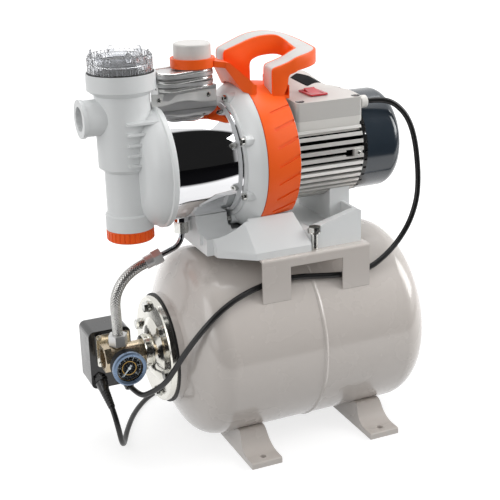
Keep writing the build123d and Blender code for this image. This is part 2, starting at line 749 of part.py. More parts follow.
# Impeller, diffuser with the jet tube, nozzle and shaft seal
impeller = rod_x(impeller_radius, impeller_left + impeller_width - 2.5, impeller_left + impeller_width, z=pump_axis_z)
impeller += rod_x(14, impeller_left, impeller_left + impeller_width, z=pump_axis_z)
vanes = []
for index in range(impeller_vanes):
    arc = CenterArc((0, 34), 30, -90, 118)
    vane = Rot(0, 0, index * 360 / impeller_vanes) * Pos(12, 0) * trace(arc, 3)
    vanes.append(along_x(vane, impeller_left + 2.5, impeller_left + impeller_width, z=pump_axis_z))
impeller += vanes
impeller &= rod_x(impeller_radius, impeller_left, impeller_left + impeller_width, z=pump_axis_z)
front_shroud = rod_x(impeller_radius, impeller_left, impeller_left + 2.5, z=pump_axis_z)
front_shroud -= rod_x(22, impeller_left - 1, impeller_left + 4, z=pump_axis_z)
impeller += front_shroud
impeller -= rod_x(shaft_radius + skin, impeller_left - 1, impeller_left + impeller_width + 1, z=pump_axis_z)
node("impeller", impeller)
diffuser = turned_x(
    pump_axis_z,
    (casing_left + 3, nozzle_radius + 3),
    (casing_left + 3, 22),
    (diffuser_left, 26),
    (diffuser_left + 40, 30),
    (diffuser_left + 44, diffuser_radius),
    (casing_right + 4, diffuser_radius),
    (casing_right + 4, diffuser_radius - 3),
    (impeller_left - 2, diffuser_radius - 3),
    (impeller_left - 2, jet_bore),
    (diffuser_left + 20, jet_bore - 3),
    (diffuser_left, nozzle_radius + 3))
node("diffuser", diffuser)
nozzle = turned_x(
    pump_axis_z,
    (filter_x + filter_body_radius - filter_wall, 4),
    (filter_x + filter_body_radius - filter_wall, nozzle_radius),
    (casing_left + 3, nozzle_radius),
    (casing_left + 3, nozzle_radius + 2.8),
    (casing_left + 8, nozzle_radius + 2.8),
    (diffuser_left, 4.5),
    (diffuser_left, 2.5))
node("jet_nozzle", nozzle)
shaft_seal = rod_x(seal_ring_radius, casing_right + 8, bracket_shoulder_x, z=pump_axis_z)
shaft_seal -= rod_x(shaft_radius + fit, casing_right, bracket_shoulder_x + 1, z=pump_axis_z)
node("shaft_seal", shaft_seal)

# Shaft with the rotor, and the two bearings
shaft = rod_x(shaft_radius, shaft_left, shaft_right, z=pump_axis_z)
shaft += rod_x(rotor_radius, rotor_left, rotor_right, z=pump_axis_z)
node("motor_shaft", shaft)


def bearing(x):
    left = x - bearing_width / 2
    outer_ring = rod_x(bearing_radius - 0.1, left, left + bearing_width, z=pump_axis_z)
    outer_ring -= rod_x(shaft_radius + running_fit, left - 1, left + bearing_width + 1, z=pump_axis_z)
    for face in (left, left + bearing_width - 1):
        step = rod_x(bearing_radius - 3, face, face + 1, z=pump_axis_z)
        outer_ring -= step - rod_x(shaft_radius + 3, face - 1, face + 2, z=pump_axis_z)
    return outer_ring


node("ball_bearings", Compound(children=[bearing(front_bearing_x), bearing(rear_bearing_x)]))

# Motor housing: one finned extrusion with a flat for the terminal box
fins = [Circle(housing_core_radius)]
for index in range(fin_count):
    fin_angle = (index + 0.5) * 360 / fin_count
    fin = Pos(housing_core_radius, 0) * Rectangle(2 * (fin_radius - housing_core_radius), fin_thickness)
    fins.append(Rot(0, 0, fin_angle) * fin)
housing_outline = (Sketch() + fins) - Circle(housing_bore_radius)
housing = along_x(housing_outline, housing_left, housing_right, z=pump_axis_z)
fins_under_box = block(box_left - 2, housing_right + 1, box_front - 2, box_back + 2, box_bottom - fit, 520)
housing -= fins_under_box - rod_x(housing_core_radius, housing_left - 1, housing_right + 1, z=pump_axis_z)
housing_boss = block(78, 90, -fin_radius - 3, -fin_radius + 8, pump_axis_z - 6, pump_axis_z + 6)
housing -= block(66, 78, -fin_radius - 4, -housing_core_radius - 1, pump_axis_z - 5, pump_axis_z + 5)
housing += [housing_boss, mirror(housing_boss, about=Plane.XZ)]
node("motor_housing", housing)
stator = rod_x(housing_bore_radius - skin, rotor_left, rotor_right, z=pump_axis_z)
stator -= rod_x(stator_inner_radius, rotor_left - 1, rotor_right + 1, z=pump_axis_z)
for side in (rotor_left - 12, rotor_right):
    winding = rod_x(housing_bore_radius - 6, side, side + 12, z=pump_axis_z)
    stator += winding - rod_x(stator_inner_radius + 5, side - 1, side + 13, z=pump_axis_z)
node("stator", stator)

# Slotted end shield with the rear bearing seat
shield = turned_x(
    pump_axis_z,
    (rear_bearing_x - bearing_width / 2, bearing_radius),
    (rear_bearing_x - bearing_width / 2, bearing_radius + 5),
    (housing_right, bearing_radius + 5),
    (housing_right, fin_radius - 1),
    (shield_right, fin_radius - 1),
    (shield_right, shaft_radius + 4),
    (rear_bearing_x + bearing_width / 2, shaft_radius + 4),
    (rear_bearing_x + bearing_width / 2, bearing_radius))
slots = []
for index in range(shield_slots):
    slot = block(housing_right + 2, shield_right + 1, -1.6, 1.6, fin_radius - 6, fin_radius + 2)
    slots.append(Pos(0, 0, pump_axis_z) * Rot(index * 360 / shield_slots, 0, 0) * slot)
node("end_shield", shield - slots)

# Fan and its cover
fan = rod_x(fan_hub_radius, fan_left, fan_left + fan_width, z=pump_axis_z)
fan += rod_x(fan_radius - 14, fan_left, fan_left + 2, z=pump_axis_z)
for index in range(fan_blades):
    blade = block(fan_left, fan_left + fan_width - 2, -1, 1, fan_hub_radius - 2, fan_radius)
    fan += Pos(0, 0, pump_axis_z) * Rot(index * 360 / fan_blades, 0, 0) * blade
fan -= rod_x(shaft_radius + skin, fan_left - 1, fan_left + fan_width + 1, z=pump_axis_z)
node("cooling_fan", fan)


def cover_body(shrink, right):
    round_radius = fan_cover_round - shrink
    radius = fan_cover_radius - shrink
    corner = cos(radians(45)) * round_radius
    outline = make_face(
        Line((shield_right + fit, 0), (shield_right + fit, radius))
        + Line((shield_right + fit, radius), (right - round_radius, radius))
        + ThreePointArc((right - round_radius, radius), (right - round_radius + corner, radius - round_radius + corner),
                        (right, radius - round_radius))
        + Line((right, radius - round_radius), (right, 0)) + Line((right, 0), (shield_right + fit, 0)))
    return Pos(0, 0, pump_axis_z) * revolve(outline, Axis.X)


fan_cover = cover_body(0, fan_cover_right) - cover_body(fan_cover_wall, fan_cover_right - fan_cover_wall)
grille = []
for index in range(grille_slots):
    slot = block(fan_cover_right - 10, fan_cover_right + 1, -2.5, 2.5, 20, 50)
    grille.append(Pos(0, 0, pump_axis_z) * Rot(index * 360 / grille_slots, 0, 0) * slot)
node("fan_cover", fan_cover - grille)

# Terminal box, lid and what sits on them
taper = 28.0
box_plan = loop((box_left, box_front), (box_right, box_front), (box_right, box_front + 45),
                (box_right - taper, box_back), (box_left, box_back))
box_plan = fillet(box_plan.vertices(), 5)
inner_plan = offset(box_plan, -box_wall)
saddle_under = rod_x(housing_core_radius + fit, box_left - 1, box_right + 1, z=pump_axis_z)
saddle_over = rod_x(housing_core_radius + fit + box_wall, box_left - 1, box_right + 1, z=pump_axis_z)
lid_clear = rod_x(fin_radius - 2, box_left - 1, 0, z=pump_axis_z) + rod_x(
    housing_core_radius + 2 * fit + box_wall, box_left - 1, box_right + 1, z=pump_axis_z)
shield_clear = rod_x(fin_radius + fit, housing_right - 2 * fit, box_right + 5, z=pump_axis_z)
rocker_well = block(rocker_x - rocker_width / 2 - 1, rocker_x + rocker_width / 2 + 1, rocker_y - rocker_length / 2 - 1,
                    rocker_y + rocker_length / 2 + 1, box_top_z - 16, box_top_z + 5)
box_walls = along_z(box_plan, box_bottom, box_lid_split)
box_walls -= along_z(inner_plan, box_bottom + box_wall, box_lid_split + 1)
box = box_walls + (along_z(box_plan, box_bottom, box_top_z) & saddle_over)
box = box - saddle_under - shield_clear - rocker_well
node("terminal_box", box)
crown_radius = 420.0
crown_shape = rod_x(crown_radius, box_left - 5, box_right + 5, -12, box_top_z + 1 - crown_radius)
crown_under = rod_x(crown_radius - box_wall, box_left - 5, box_right + 5, -12, box_top_z + 1 - crown_radius)
lid_block = along_z(box_plan, box_lid_split, box_top_z + 10) & crown_shape
lid_hollow = along_z(inner_plan, box_lid_split - 1, box_top_z + 10) & crown_under
box_lid = lid_block - lid_hollow - lid_clear - shield_clear
rocker_z = box_top_z + 1 - crown_radius + sqrt(crown_radius ** 2 - (rocker_y + 12) ** 2)
rocker_hole = block(rocker_x - rocker_width / 2, rocker_x + rocker_width / 2, rocker_y - rocker_length / 2,
                    rocker_y + rocker_length / 2, rocker_z - 10, rocker_z + 10)
box_lid -= rocker_hole
for x, y in ((box_left + 9, box_front + 9), (box_right - 7, box_front + 9), (box_left + 9, box_back - 9),
             (box_right - taper - 8, box_back - 9)):
    corner_z = box_top_z + 1 - crown_radius + sqrt(crown_radius ** 2 - (y + 12) ** 2)
    box_lid += rod_z(5.5, box_lid_split + 8, corner_z - 2, x, y)
    box_lid -= rod_z(4.2, corner_z - 4, corner_z + 5, x, y)
gland_hole = rod_x(7 + skin, box_right - 20, box_right + 10, gland_y, gland_z)
box_lid -= gland_hole
node("terminal_lid", box_lid)
bezel_plan = RectangleRounded(rocker_width + 5, rocker_length + 5, 2)
bezel = along_z(bezel_plan, rocker_z + fit, rocker_z + 2.4, rocker_x, rocker_y)
bezel_body = Rectangle(rocker_width - 0.4, rocker_length - 0.4)
bezel_bore = Rectangle(rocker_width - 4, rocker_length - 4)
bezel += along_z(bezel_body, rocker_z - 14, rocker_z + 0.7, rocker_x, rocker_y)
bezel -= along_z(bezel_bore, rocker_z - 12, rocker_z + 5, rocker_x, rocker_y)
node("rocker_bezel", bezel)
rocker_half = rocker_length / 2 - 3
rocker_outline = loop((-rocker_half, rocker_z - 2), (-rocker_half, rocker_z + 1.6), (0, rocker_z + 2.6),
                      (rocker_half - 2, rocker_z + 6.0), (rocker_half, rocker_z - 1), (0, rocker_z - 8))
rocker_hub_z = rocker_z - 3.0
rocker = extrude(Plane.YZ.offset(rocker_x - rocker_width / 2 + 3) * Pos(rocker_y, 0) * rocker_outline,
                 amount=rocker_width - 6)
rocker += rod_x(1.5, rocker_x - rocker_width / 2 + 2.2, rocker_x + rocker_width / 2 - 2.2, rocker_y, rocker_hub_z)
node("rocker_switch", rocker)
gland_nut = rod_x(9.0, box_right, box_right + 10.5, gland_y, gland_z)
gland_body = rod_x(7, box_right - box_wall - 2, box_right + 3, gland_y, gland_z)
box_gland = gland_nut + gland_body - rod_x(lead_radius + skin, box_right - 20, box_right + 20, gland_y, gland_z)
box_gland = fillet(box_gland.faces().sort_by(Axis.X)[-1].outer_wire().edges(), 2.0)
node("box_gland", box_gland)

# Discharge head: a saddle on the casing, round fins and the threaded neck
head_outline = loop((-head_half_width, head_skirt_z), (-head_half_width, head_shoulder_z - 4),
                    (-head_half_width + 4, head_shoulder_z), (head_half_width - 4, head_shoulder_z),
                    (head_half_width, head_shoulder_z - 4), (head_half_width, head_skirt_z),
                    (0, head_skirt_z - 25))
head = along_x(head_outline, head_left, head_right)
head -= rod_x(rim_radius + fit, head_left - 1, rim_right + fit, z=pump_axis_z)
head -= rod_z(filter_collar_radius + 2, 400, 600, filter_x)
head -= rod_x(casing_radius + skin, head_left - 1, head_right + 1, z=pump_axis_z)
fin_span = head_right - head_left - 2 * head_fin_radius
fin_middle = (head_left + head_right) / 2 + 2
slot_plan = SlotCenterToCenter(fin_span - 4, 2 * head_fin_radius)
core_plan = SlotCenterToCenter(fin_span - 4, 2 * head_core_radius)
head += along_z(core_plan, head_shoulder_z - 1, head_top_z, fin_middle)
for index in range(head_fin_count):
    z = head_fin_first_z + index * head_fin_pitch
    head += along_z(slot_plan, z + 2, z + 2 + head_fin_thickness, fin_middle)
head += rod_z(neck_radius, head_top_z - 1, neck_top_z, cap_x)
head -= rod_z(neck_radius - 4, head_shoulder_z - 10, neck_top_z + 1, cap_x)
head -= rod_z(filter_collar_radius + 1.5, 520, 600, filter_x)
head -= rod_z(filter_body_radius + 1.5, 400, 600, filter_x)
node("discharge_head", head)
cap = rod_z(cap_radius, cap_ring_bottom, cap_top_z, cap_x)
cap = fillet(cap.edges().sort_by(Axis.Z)[-1], 3)
cap -= rod_z(neck_radius + fit, cap_ring_bottom - 1, neck_top_z + 1, cap_x)
node("filling_cap", cap)

# Handle: band round the bracket, front leg, closed grip, arm and cap ring
band = turned_x(
    pump_axis_z,
    (band_left, bracket_drum_radius + skin),
    (band_left, band_radius_left),
    (band_left + 10, band_radius_left),
    (band_right, band_radius_right),
    (band_right, bracket_drum_radius + skin))
open_half = 200 * tan(radians(band_open_angle))
band -= along_x(loop((0, 0), (-open_half, -200), (open_half, -200)), band_left - 1, band_right + 1, z=pump_axis_z)
groove_x = band_right + 1 - groove_length / 2
band_taper = degrees(atan2(band_radius_left - band_radius_right, band_right - band_left - 10))
groove_radius = band_radius_right + (band_right - groove_x) * tan(radians(band_taper)) + 0.4
groove_cuts = []
for index in range(groove_count):
    angle = -37 + index * groove_pitch
    cutter = Rot(0, -groove_tilt, 0) * Box(groove_length, 2 * groove_depth, groove_width)
    placed = Rot(-angle, 0, 0) * Pos(groove_x, -groove_radius, 0) * Rot(0, 0, band_taper) * cutter
    cut = Pos(0, 0, pump_axis_z) * placed
    groove_cuts += [cut, mirror(cut, about=Plane.XZ)]
grip_span = grip_right_centre - grip_left_centre
grip_middle = (grip_right_centre + grip_left_centre) / 2


def grip_plan(inset):
    outer = SlotCenterToCenter(grip_span, 2 * (grip_radius - inset))
    inner = SlotCenterToCenter(grip_span, 2 * (grip_radius - grip_bar + inset))
    return Pos(grip_middle, 0) * (outer - inner)


def grip_shape(inset, drop, thickness):
    # The closed grip between its upper surface, lowered by drop, and a lower one.
    right_end = grip_right_centre + grip_radius
    left_end = grip_left_centre - grip_radius
    rear_end_z = grip_right_z + 0.8
    front_top = loop(
        (leg_left - 30, grip_front_left_z - drop - 7), (leg_left, grip_front_left_z - drop),
        (right_end, grip_right_z - drop), (right_end, grip_right_z - drop - thickness),
        (leg_left, grip_front_left_z - drop - thickness), (leg_left - 30, grip_front_left_z - drop - thickness - 7))
    rear = (
        ThreePointArc((left_end, grip_left_z - drop), (-8, grip_crown_z - drop), (right_end, rear_end_z - drop))
        + Line((right_end, rear_end_z - drop), (right_end, rear_end_z - drop - thickness))
        + ThreePointArc((right_end, rear_end_z - drop - thickness), (-8, grip_crown_z - drop - thickness - 3),
                        (left_end, grip_left_z - drop - thickness))
        + Line((left_end, grip_left_z - drop - thickness), (left_end, grip_left_z - drop)))
    plan = grip_plan(inset)
    front_half = plan & Pos(leg_left + 60, -50) * Rectangle(120, 100)
    rear_half = plan & Pos(grip_middle, 50) * Rectangle(260, 100)
    left_tip = plan & Pos(grip_left_centre - 50, -4) * Rectangle(100, 8)
    front_part = along_y(front_top, -60, 0) & along_z(front_half, 480, 620)
    rear_part = along_y(make_face(rear), -20, 60) & along_z(rear_half + left_tip, 480, 620)
    return front_part + rear_part


grip = grip_shape(0, 0, grip_height)
leg_top = grip_front_left_z - 8
front_leg = block(leg_left, leg_right, -grip_radius, -grip_radius + grip_bar + 6, 480, leg_top)
rear_leg = block(rear_leg_left, rear_leg_right, grip_radius - grip_bar, grip_radius, 480, grip_left_z - 12)
arm_side = loop((cap_x + cap_ring_radius - 8, cap_ring_bottom), (cap_x + cap_ring_radius - 8, cap_ring_top - 4),
                (-88, cap_ring_top - 8), (-60, 528), (-24, 524), (-24, 505), (-66, 505), (-93, cap_ring_bottom - 2.7))
arm_plan = loop((cap_x + 20, -22), (-92, -24), (-64, -46), (-20, -46), (-20, 46), (-64, 46), (-92, 24), (cap_x + 20, 22))
arm = along_y(arm_side, -50, 50) & along_z(arm_plan, 480, 600)
arm -= block(leg_right - 4, 0, -60, 60, 480, 600)
arm -= block(leg_left - 4, 0, -20, 60, band_radius_left + pump_axis_z, 600) - block(-70, leg_left - 4, -60, 60, 480, 600)
cap_ring = rod_z(cap_ring_radius, cap_ring_bottom, cap_ring_top, cap_x)
handle = band + [front_leg, rear_leg, arm, grip, cap_ring]
handle -= rod_x(bracket_drum_radius + skin, band_left - 40, band_right + 40, z=pump_axis_z)
handle -= rod_x(bracket_outer_radius + skin, -140, band_left, z=pump_axis_z)
handle -= rod_z(cap_radius + 0.6, 500, 620, cap_x)
handle -= groove_cuts
inlay = grip_shape(inlay_margin, -0.01, inlay_thickness)
leg_inlay = block(leg_left - 0.01, leg_left + inlay_thickness, -grip_radius + inlay_margin,
                  -grip_radius + grip_bar - inlay_margin, 515, grip_front_left_z - inlay_thickness)
inlay += leg_inlay
handle -= inlay
node("carrying_handle", handle)
node("handle_inlay", inlay & grip_shape(inlay_margin, 0.0, inlay_thickness + 40))

# Pump base: tapered front part, scoop, nose and the tray under the motor
ring_cut = rod_x(bracket_outer_radius + skin, band_left - 30, bracket_right + 2, z=pump_axis_z)
base_foot = loop((base_left, -68), (-88, -base_front), (base_panel_right, -base_front),
                 (base_panel_right, base_front), (-88, base_front), (base_left, 68))
base_top = loop((base_left - 6, -52), (-94, -72), (base_panel_right - 16, -72),
                (base_panel_right - 16, 72), (-94, 72), (base_left - 6, 52))
base_low = along_z(base_foot, saddle_top_z, saddle_top_z + base_skirt)
base_high = loft(Sketch() + [Pos(0, 0, saddle_top_z + base_skirt) * base_foot, Pos(0, 0, 352) * base_top])
nose = block(-146, -100, -40, 40, saddle_top_z + 12, 350)
cradle_side = loop((-56, saddle_top_z), (56, saddle_top_z), (56, 360), (-56, 360))
cradle = along_x(cradle_side, -142, -104)
tray = along_z(loop((base_panel_right - 20, -70), (base_panel_right, -base_front + 6), (base_right, -base_front + 8),
                    (base_right, base_front - 8), (base_panel_right, base_front - 6), (base_panel_right - 20, 70)),
               saddle_top_z, tray_top_z)
tray_slope = along_y(loop((base_panel_right - 21, tray_floor_z), (base_right - 6, tray_top_z),
                          (base_right + 2, tray_top_z - 3), (base_right + 2, 400), (base_panel_right - 21, 400)), -150, 150)
tray_hollow = block(base_panel_right + 4, base_right - 8, -base_front + 20, base_front - 20, tray_floor_z - 4, 400)
pedestal_outline = loop((-50, tray_floor_z - 6), (50, tray_floor_z - 6), (50, 380), (-50, 380))
pedestal = along_x(pedestal_outline, base_right - 26, base_right + 6)
pedestal_cut = rod_x(housing_core_radius + 2, base_panel_right, base_right + 20, z=pump_axis_z)
motor_clear = rod_x(fin_radius + fit, base_panel_right - 10, base_right + 30, z=pump_axis_z)
base = base_low + [base_high, nose, cradle, (tray - tray_slope) - tray_hollow, pedestal]
base -= ring_cut
base -= rod_x(bracket_drum_radius + skin, band_left - 30, 0, z=pump_axis_z)
base -= motor_clear
base -= rod_x(casing_radius + skin, -200, casing_right + 1, z=pump_axis_z)
flare_clear = turned_x(
    pump_axis_z, (casing_right - 8, 0), (casing_right - 8, bracket_lip_radius + 12.5),
    (band_left, bracket_outer_radius + skin), (band_left, 0))
base -= flare_clear
scoop = rod_x(24, -160, casing_right + 4, -52, 346)
base -= scoop - block(-200, 0, -200, -94, 300, 400)
underside = loft(Sketch() + [
    Pos(0, 0, saddle_top_z - 1) * offset(base_foot, -base_wall),
    Pos(0, 0, saddle_top_z + 12) * offset(base_foot, -base_wall - 6)])
base -= underside
tray_under = block(base_panel_right + 10, base_right - base_wall, -base_front + 14, base_front - 14,
                   saddle_top_z - 1, tray_floor_z - 2 * base_wall)
base -= tray_under - [rod_z(12, saddle_top_z - 2, tray_floor_z, base_bolt_x, side * base_bolt_y) for side in (-1, 1)]
for side in (-1, 1):
    notch_y = side * (base_front - 2)
    base -= block(base_bolt_x - 8, base_bolt_x + 8, min(notch_y, notch_y + side * 30) , max(notch_y, notch_y + side * 30), 290, 400)
    base -= rod_z(9.5, tray_floor_z, 400, base_bolt_x, side * base_bolt_y)
    base -= rod_z(5.2, 290, 400, base_bolt_x, side * base_bolt_y)
node("pump_base", base)
base_bolts = []
for side in (-1, 1):
    y = side * base_bolt_y
    bolt = along_z(hexagon(15), tray_floor_z + 2, tray_floor_z + 9, base_bolt_x, y)
    bolt += rod_z(9, tray_floor_z, tray_floor_z + 2, base_bolt_x, y)
    bolt += rod_z(5, saddle_top_z - 14, tray_floor_z + 3, base_bolt_x, y)
    nut = along_z(hexagon(15), saddle_top_z - saddle_sheet - 7, saddle_top_z - saddle_sheet, base_bolt_x, y)
    base_bolts.append(bolt + nut)
node("base_bolts", Compound(children=base_bolts))

# Five-way fitting on the flange neck
fitting = rod_x(fitting_radius, fitting_left, neck_front - 6, z=tank_axis_z)
fitting += along_x(hexagon(fitting_hex_flats), neck_front - 13, neck_front - fit, z=tank_axis_z)
fitting += rod_x(fitting_bore - skin, neck_front - 10, neck_front + 14, z=tank_axis_z)
fitting += along_x(hexagon(2 * fitting_radius + 2), fitting_left, fitting_left + 10, z=tank_axis_z)
fitting += rod_z(top_port_radius, tank_axis_z, hose_bottom_z, fitting_x)
fitting += rod_y(side_port_radius + 3, -22, 0, fitting_x, tank_axis_z)
fitting += rod_y(side_port_radius + 3, 0, 21, fitting_x, tank_axis_z)
fitting -= rod_x(fitting_bore, fitting_left - 1, fitting_left + 20, z=tank_axis_z)
fitting -= rod_x(9, fitting_left, neck_front + 15, z=tank_axis_z)
fitting -= rod_z(top_port_radius - 3, tank_axis_z, hose_bottom_z + 1, fitting_x)
fitting -= rod_y(side_port_radius - 2, -23, 22, fitting_x, tank_axis_z)
node("five_way_fitting", fitting)

# Gauge: case with its stem, bezel, glass, dial and needle
gauge_case_y = gauge_face_y + 3
gauge_case = turned_z(0, 0, (0, 0), (gauge_radius - 1.2, 0), (gauge_radius - 1.2, gauge_depth - 9),
                      (gauge_radius - 4, gauge_depth - 6), (0, gauge_depth - 6))
gauge_case -= rod_z(gauge_radius - 2.7, -1, 3.2)
gauge_case += rod_z(side_port_radius - 2 - skin, gauge_depth - 7, -gauge_case_y - fitting_bore - 1)
gauge_case += along_z(hexagon(14), gauge_depth - 7, gauge_depth - 1)
gauge_place = Pos(fitting_x, gauge_case_y, tank_axis_z) * Rot(-90, 0, 0)
gauge_case += rod_z(gauge_radius - 2.7, 2.2, 3.4)
node("gauge_case", gauge_place * gauge_case)
bezel_ring = turned_z(0, 0, (gauge_radius - 1.1, 3), (gauge_radius, 3), (gauge_radius, -2), (gauge_radius - 2, -3.5),
                      (gauge_radius - 5.5, -2.6), (gauge_radius - 5.5, -0.6), (gauge_radius - 1.1, -0.6))
node("gauge_bezel", gauge_place * bezel_ring)
node("gauge_glass", gauge_place * (rod_z(gauge_radius - 2.9, -0.6, 0.2)))
needle = loop((-1.6, -5), (1.6, -5), (0.4, 15), (-0.4, 15))
node("gauge_needle", gauge_place * (Rot(0, 0, 40) * along_z(needle, 1.2, 1.8) + rod_z(2.2, 0.9, 1.9)))

# Pressure switch: base plate, cover, screw and glands
plate_outline = RectangleRounded(switch_plate_size, switch_plate_size, 4)
switch_plate = along_y(plate_outline, switch_plate_y, switch_front, fitting_x, tank_axis_z)
switch_plate += rod_y(14, 22, switch_plate_y + 1, fitting_x, tank_axis_z)
switch_plate += rod_y(side_port_radius - 2 - skin, fitting_bore + 1, switch_plate_y, fitting_x, tank_axis_z)
for dx in (-20, 20):
    for dz in (-20, 20):
        switch_plate += rod_y(3, switch_plate_y - 2, switch_plate_y + 1, fitting_x + dx, tank_axis_z + dz)
node("switch_plate", switch_plate)
cover_width = switch_right - switch_left
switch_body = block(switch_left, switch_right, switch_front, switch_back, switch_bottom, switch_top)
switch_body = fillet(switch_body.edges().filter_by(Axis.Y), 9)
switch_body = fillet(switch_body.faces().sort_by(Axis.Y)[-1].edges(), 4)
gland_direction = (0, -cos(radians(switch_gland_tilt)), -sin(radians(switch_gland_tilt)))
gland_middle = (switch_left + switch_right) / 2
switch_glands = []
mouths = []
for side in (-1, 1):
    root = Vector(gland_middle + side * switch_gland_x, switch_front + 2, switch_gland_z)
    mouth = root + Vector(*gland_direction) * (gland_length + 2)
    mouths.append(mouth)
    gland_plane = Plane(origin=root, z_dir=gland_direction)
    gland = gland_plane * Pos(0, 0, -3) * Cylinder(gland_radius - 1, gland_length - 4, align=(Align.CENTER, Align.CENTER, Align.MIN))
    gland += extrude(gland_plane * Pos(0, 0, 4) * hexagon(2 * gland_radius), amount=6)
    gland += gland_plane * Pos(0, 0, 11) * Cone(gland_radius, gland_radius - 2.5, gland_length - 9, align=(Align.CENTER, Align.CENTER, Align.MIN))
    bore = gland_plane * Pos(0, 0, 2) * Cylinder(lead_radius + skin, gland_length + 5, align=(Align.CENTER, Align.CENTER, Align.MIN))
    switch_glands.append(gland - bore - block(switch_left, switch_right, switch_front, switch_back, switch_bottom, switch_top))
node("switch_cover", switch_body)
node("switch_glands", Compound(children=switch_glands))

# Hose with its nut and ferrules, the chrome tube and its nut
hose_nut = along_z(hexagon(hose_nut_flats), tank_axis_z + fitting_radius + 0.5, hose_bottom_z + 7, fitting_x)
hose_nut -= rod_z(top_port_radius + skin, tank_axis_z, hose_bottom_z + skin, fitting_x)
hose_nut -= rod_z(hose_radius + skin, hose_bottom_z - 1, hose_bottom_z + 20, fitting_x)
hose_points = [(fitting_x, 0.0, hose_bottom_z + 0.5), (fitting_x, 0.0, 206.0), (-262.9, 0.0, 238.0),
               (-251.0, 0.0, 261.5), (-230.5, 0.0, 277.0), (-206.0, 0.0, 285.5)]
node("braided_hose", smooth_tube(hose_radius, hose_points))
ferrule_dir = (Vector(*hose_points[-1]) - Vector(*hose_points[-2])).normalized()
ferrule_plane = Plane(origin=hose_points[-1], z_dir=ferrule_dir)
ferrule = extrude(ferrule_plane * Pos(0, 0, -9) * Circle(hose_radius + 2), amount=15)
ferrule += extrude(ferrule_plane * Pos(0, 0, 3) * hexagon(20), amount=13)
ferrule -= extrude(ferrule_plane * Pos(0, 0, -10) * Circle(hose_radius + skin), amount=10 + skin)
ferrule -= extrude(ferrule_plane * Pos(0, 0, 6) * Circle(tube_radius + skin), amount=30)
node("hose_fittings", Compound(children=[hose_nut, ferrule]))
tube_start = Vector(*hose_points[-1]) + ferrule_dir * 6.5
tube_bend = Vector(*hose_points[-1]) + ferrule_dir * 27
tube_points = [tuple(tube_start), tuple(tube_bend), (-165.5, 0.0, 300.0), (port_x, 0.0, 312.5), (port_x, 0.0, 334.0)]
node("chrome_tube", smooth_tube(tube_radius, tube_points))
tube_nut = along_z(hexagon(19), port_z - 24, port_z - 8, port_x)
tube_nut -= rod_z(tube_radius + skin, port_z - 30, port_z + 1, port_x)
node("tube_nut", tube_nut)

# Leads: motor lead, mains lead, coil and plug
motor_lead_points = [
    (box_right + 6, gland_y, gland_z), (box_right + 26, gland_y - 1, gland_z + 1), (147.0, -58.0, 485.5),
    (164.5, -63.0, 470.0), (175.5, -66.0, 450.0), (182.0, -68.5, 424.0), (185.5, -70.0, 396.0),
    (185.5, -74.0, 367.0), (181.0, -78.0, 338.0), (167.5, -82.0, 308.0), (145.0, -88.0, 284.0),
    (118.0, -97.0, 268.5), (89.0, -102.0, 256.0), (58.0, -103.0, 253.5), (22.0, -101.0, 256.0),
    (-18.0, -97.0, 261.0), (-56.0, -96.5, 261.5), (-92.0, -101.5, 257.0), (-126.0, -110.0, 249.5),
    (-157.0, -116.0, 234.5), (-180.0, -110.0, 208.5), (-196.0, -98.0, 180.5), (-209.5, -87.5, 153.0),
    (-220.0, -75.0, 128.5), (-232.0, -43.0, 102.5), (-241.5, -19.0, 88.5)]
motor_mouth = mouths[1]
motor_lead_points.append((motor_mouth.X, motor_mouth.Y + 4, motor_mouth.Z + 2.3))
node("motor_lead", smooth_tube(lead_radius, motor_lead_points))
mains_mouth = mouths[0]
mains_lead_points = [
    (mains_mouth.X, mains_mouth.Y + 4, mains_mouth.Z + 2.3), (-281.5, -17.0, 76.0), (-276.5, -27.0, 50.0),
    (-269.0, -20.0, 22.0), (-257.0, 8.0, 6.0), (-240.0, 52.0, 4.5), (-212.0, 98.0, 4.6), (-178.0, 137.0, 4.5),
    (-142.0, 155.0, 4.6), (-112.0, 160.5, 5.5), (-88.0, 161.5, 7.5)]
node("mains_lead", smooth_tube(lead_radius, mains_lead_points))
coil = Pos(coil_x, coil_y, coil_section) * Torus(coil_radius, coil_section - 0.5)
node("mains_coil", coil)
plug_x = coil_x + coil_radius + coil_section + 34
plug = rod_x(plug_radius, plug_x, plug_x + 30, coil_y, plug_radius)
plug += Pos(plug_x - 18, coil_y, plug_radius) * Rot(0, 90, 0) * Cone(5, 15, 36)
for side in (-9.5, 9.5):
    plug += rod_x(2.4, plug_x + 29, plug_x + 49, coil_y + side, plug_radius)
node("mains_plug", plug)
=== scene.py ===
import json
import math

import bmesh
import bpy
import numpy as np
from mathutils import Matrix, Vector


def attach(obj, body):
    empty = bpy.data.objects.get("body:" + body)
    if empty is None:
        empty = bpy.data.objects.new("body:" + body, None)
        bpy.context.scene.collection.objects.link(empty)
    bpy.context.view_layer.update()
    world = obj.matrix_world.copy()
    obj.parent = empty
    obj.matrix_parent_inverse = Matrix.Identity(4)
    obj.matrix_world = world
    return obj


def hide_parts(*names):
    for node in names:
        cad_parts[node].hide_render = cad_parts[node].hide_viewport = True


# Booster pump set: a jet pump on a horizontal membrane tank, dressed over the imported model.
# Shapes are worked out in millimetres, and scaled to metres where they go into a mesh.
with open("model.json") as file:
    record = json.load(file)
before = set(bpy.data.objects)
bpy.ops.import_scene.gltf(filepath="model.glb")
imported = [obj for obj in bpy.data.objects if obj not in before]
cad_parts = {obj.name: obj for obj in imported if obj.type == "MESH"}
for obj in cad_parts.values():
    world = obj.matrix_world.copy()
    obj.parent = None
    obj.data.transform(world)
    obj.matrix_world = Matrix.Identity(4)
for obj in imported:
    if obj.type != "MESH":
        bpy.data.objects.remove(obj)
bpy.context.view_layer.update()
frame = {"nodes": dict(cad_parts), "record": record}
nodes = frame["nodes"]
bodyOf = {name: body for body, names in frame["record"]["behaviour"]["bodies"].items() for name in names}
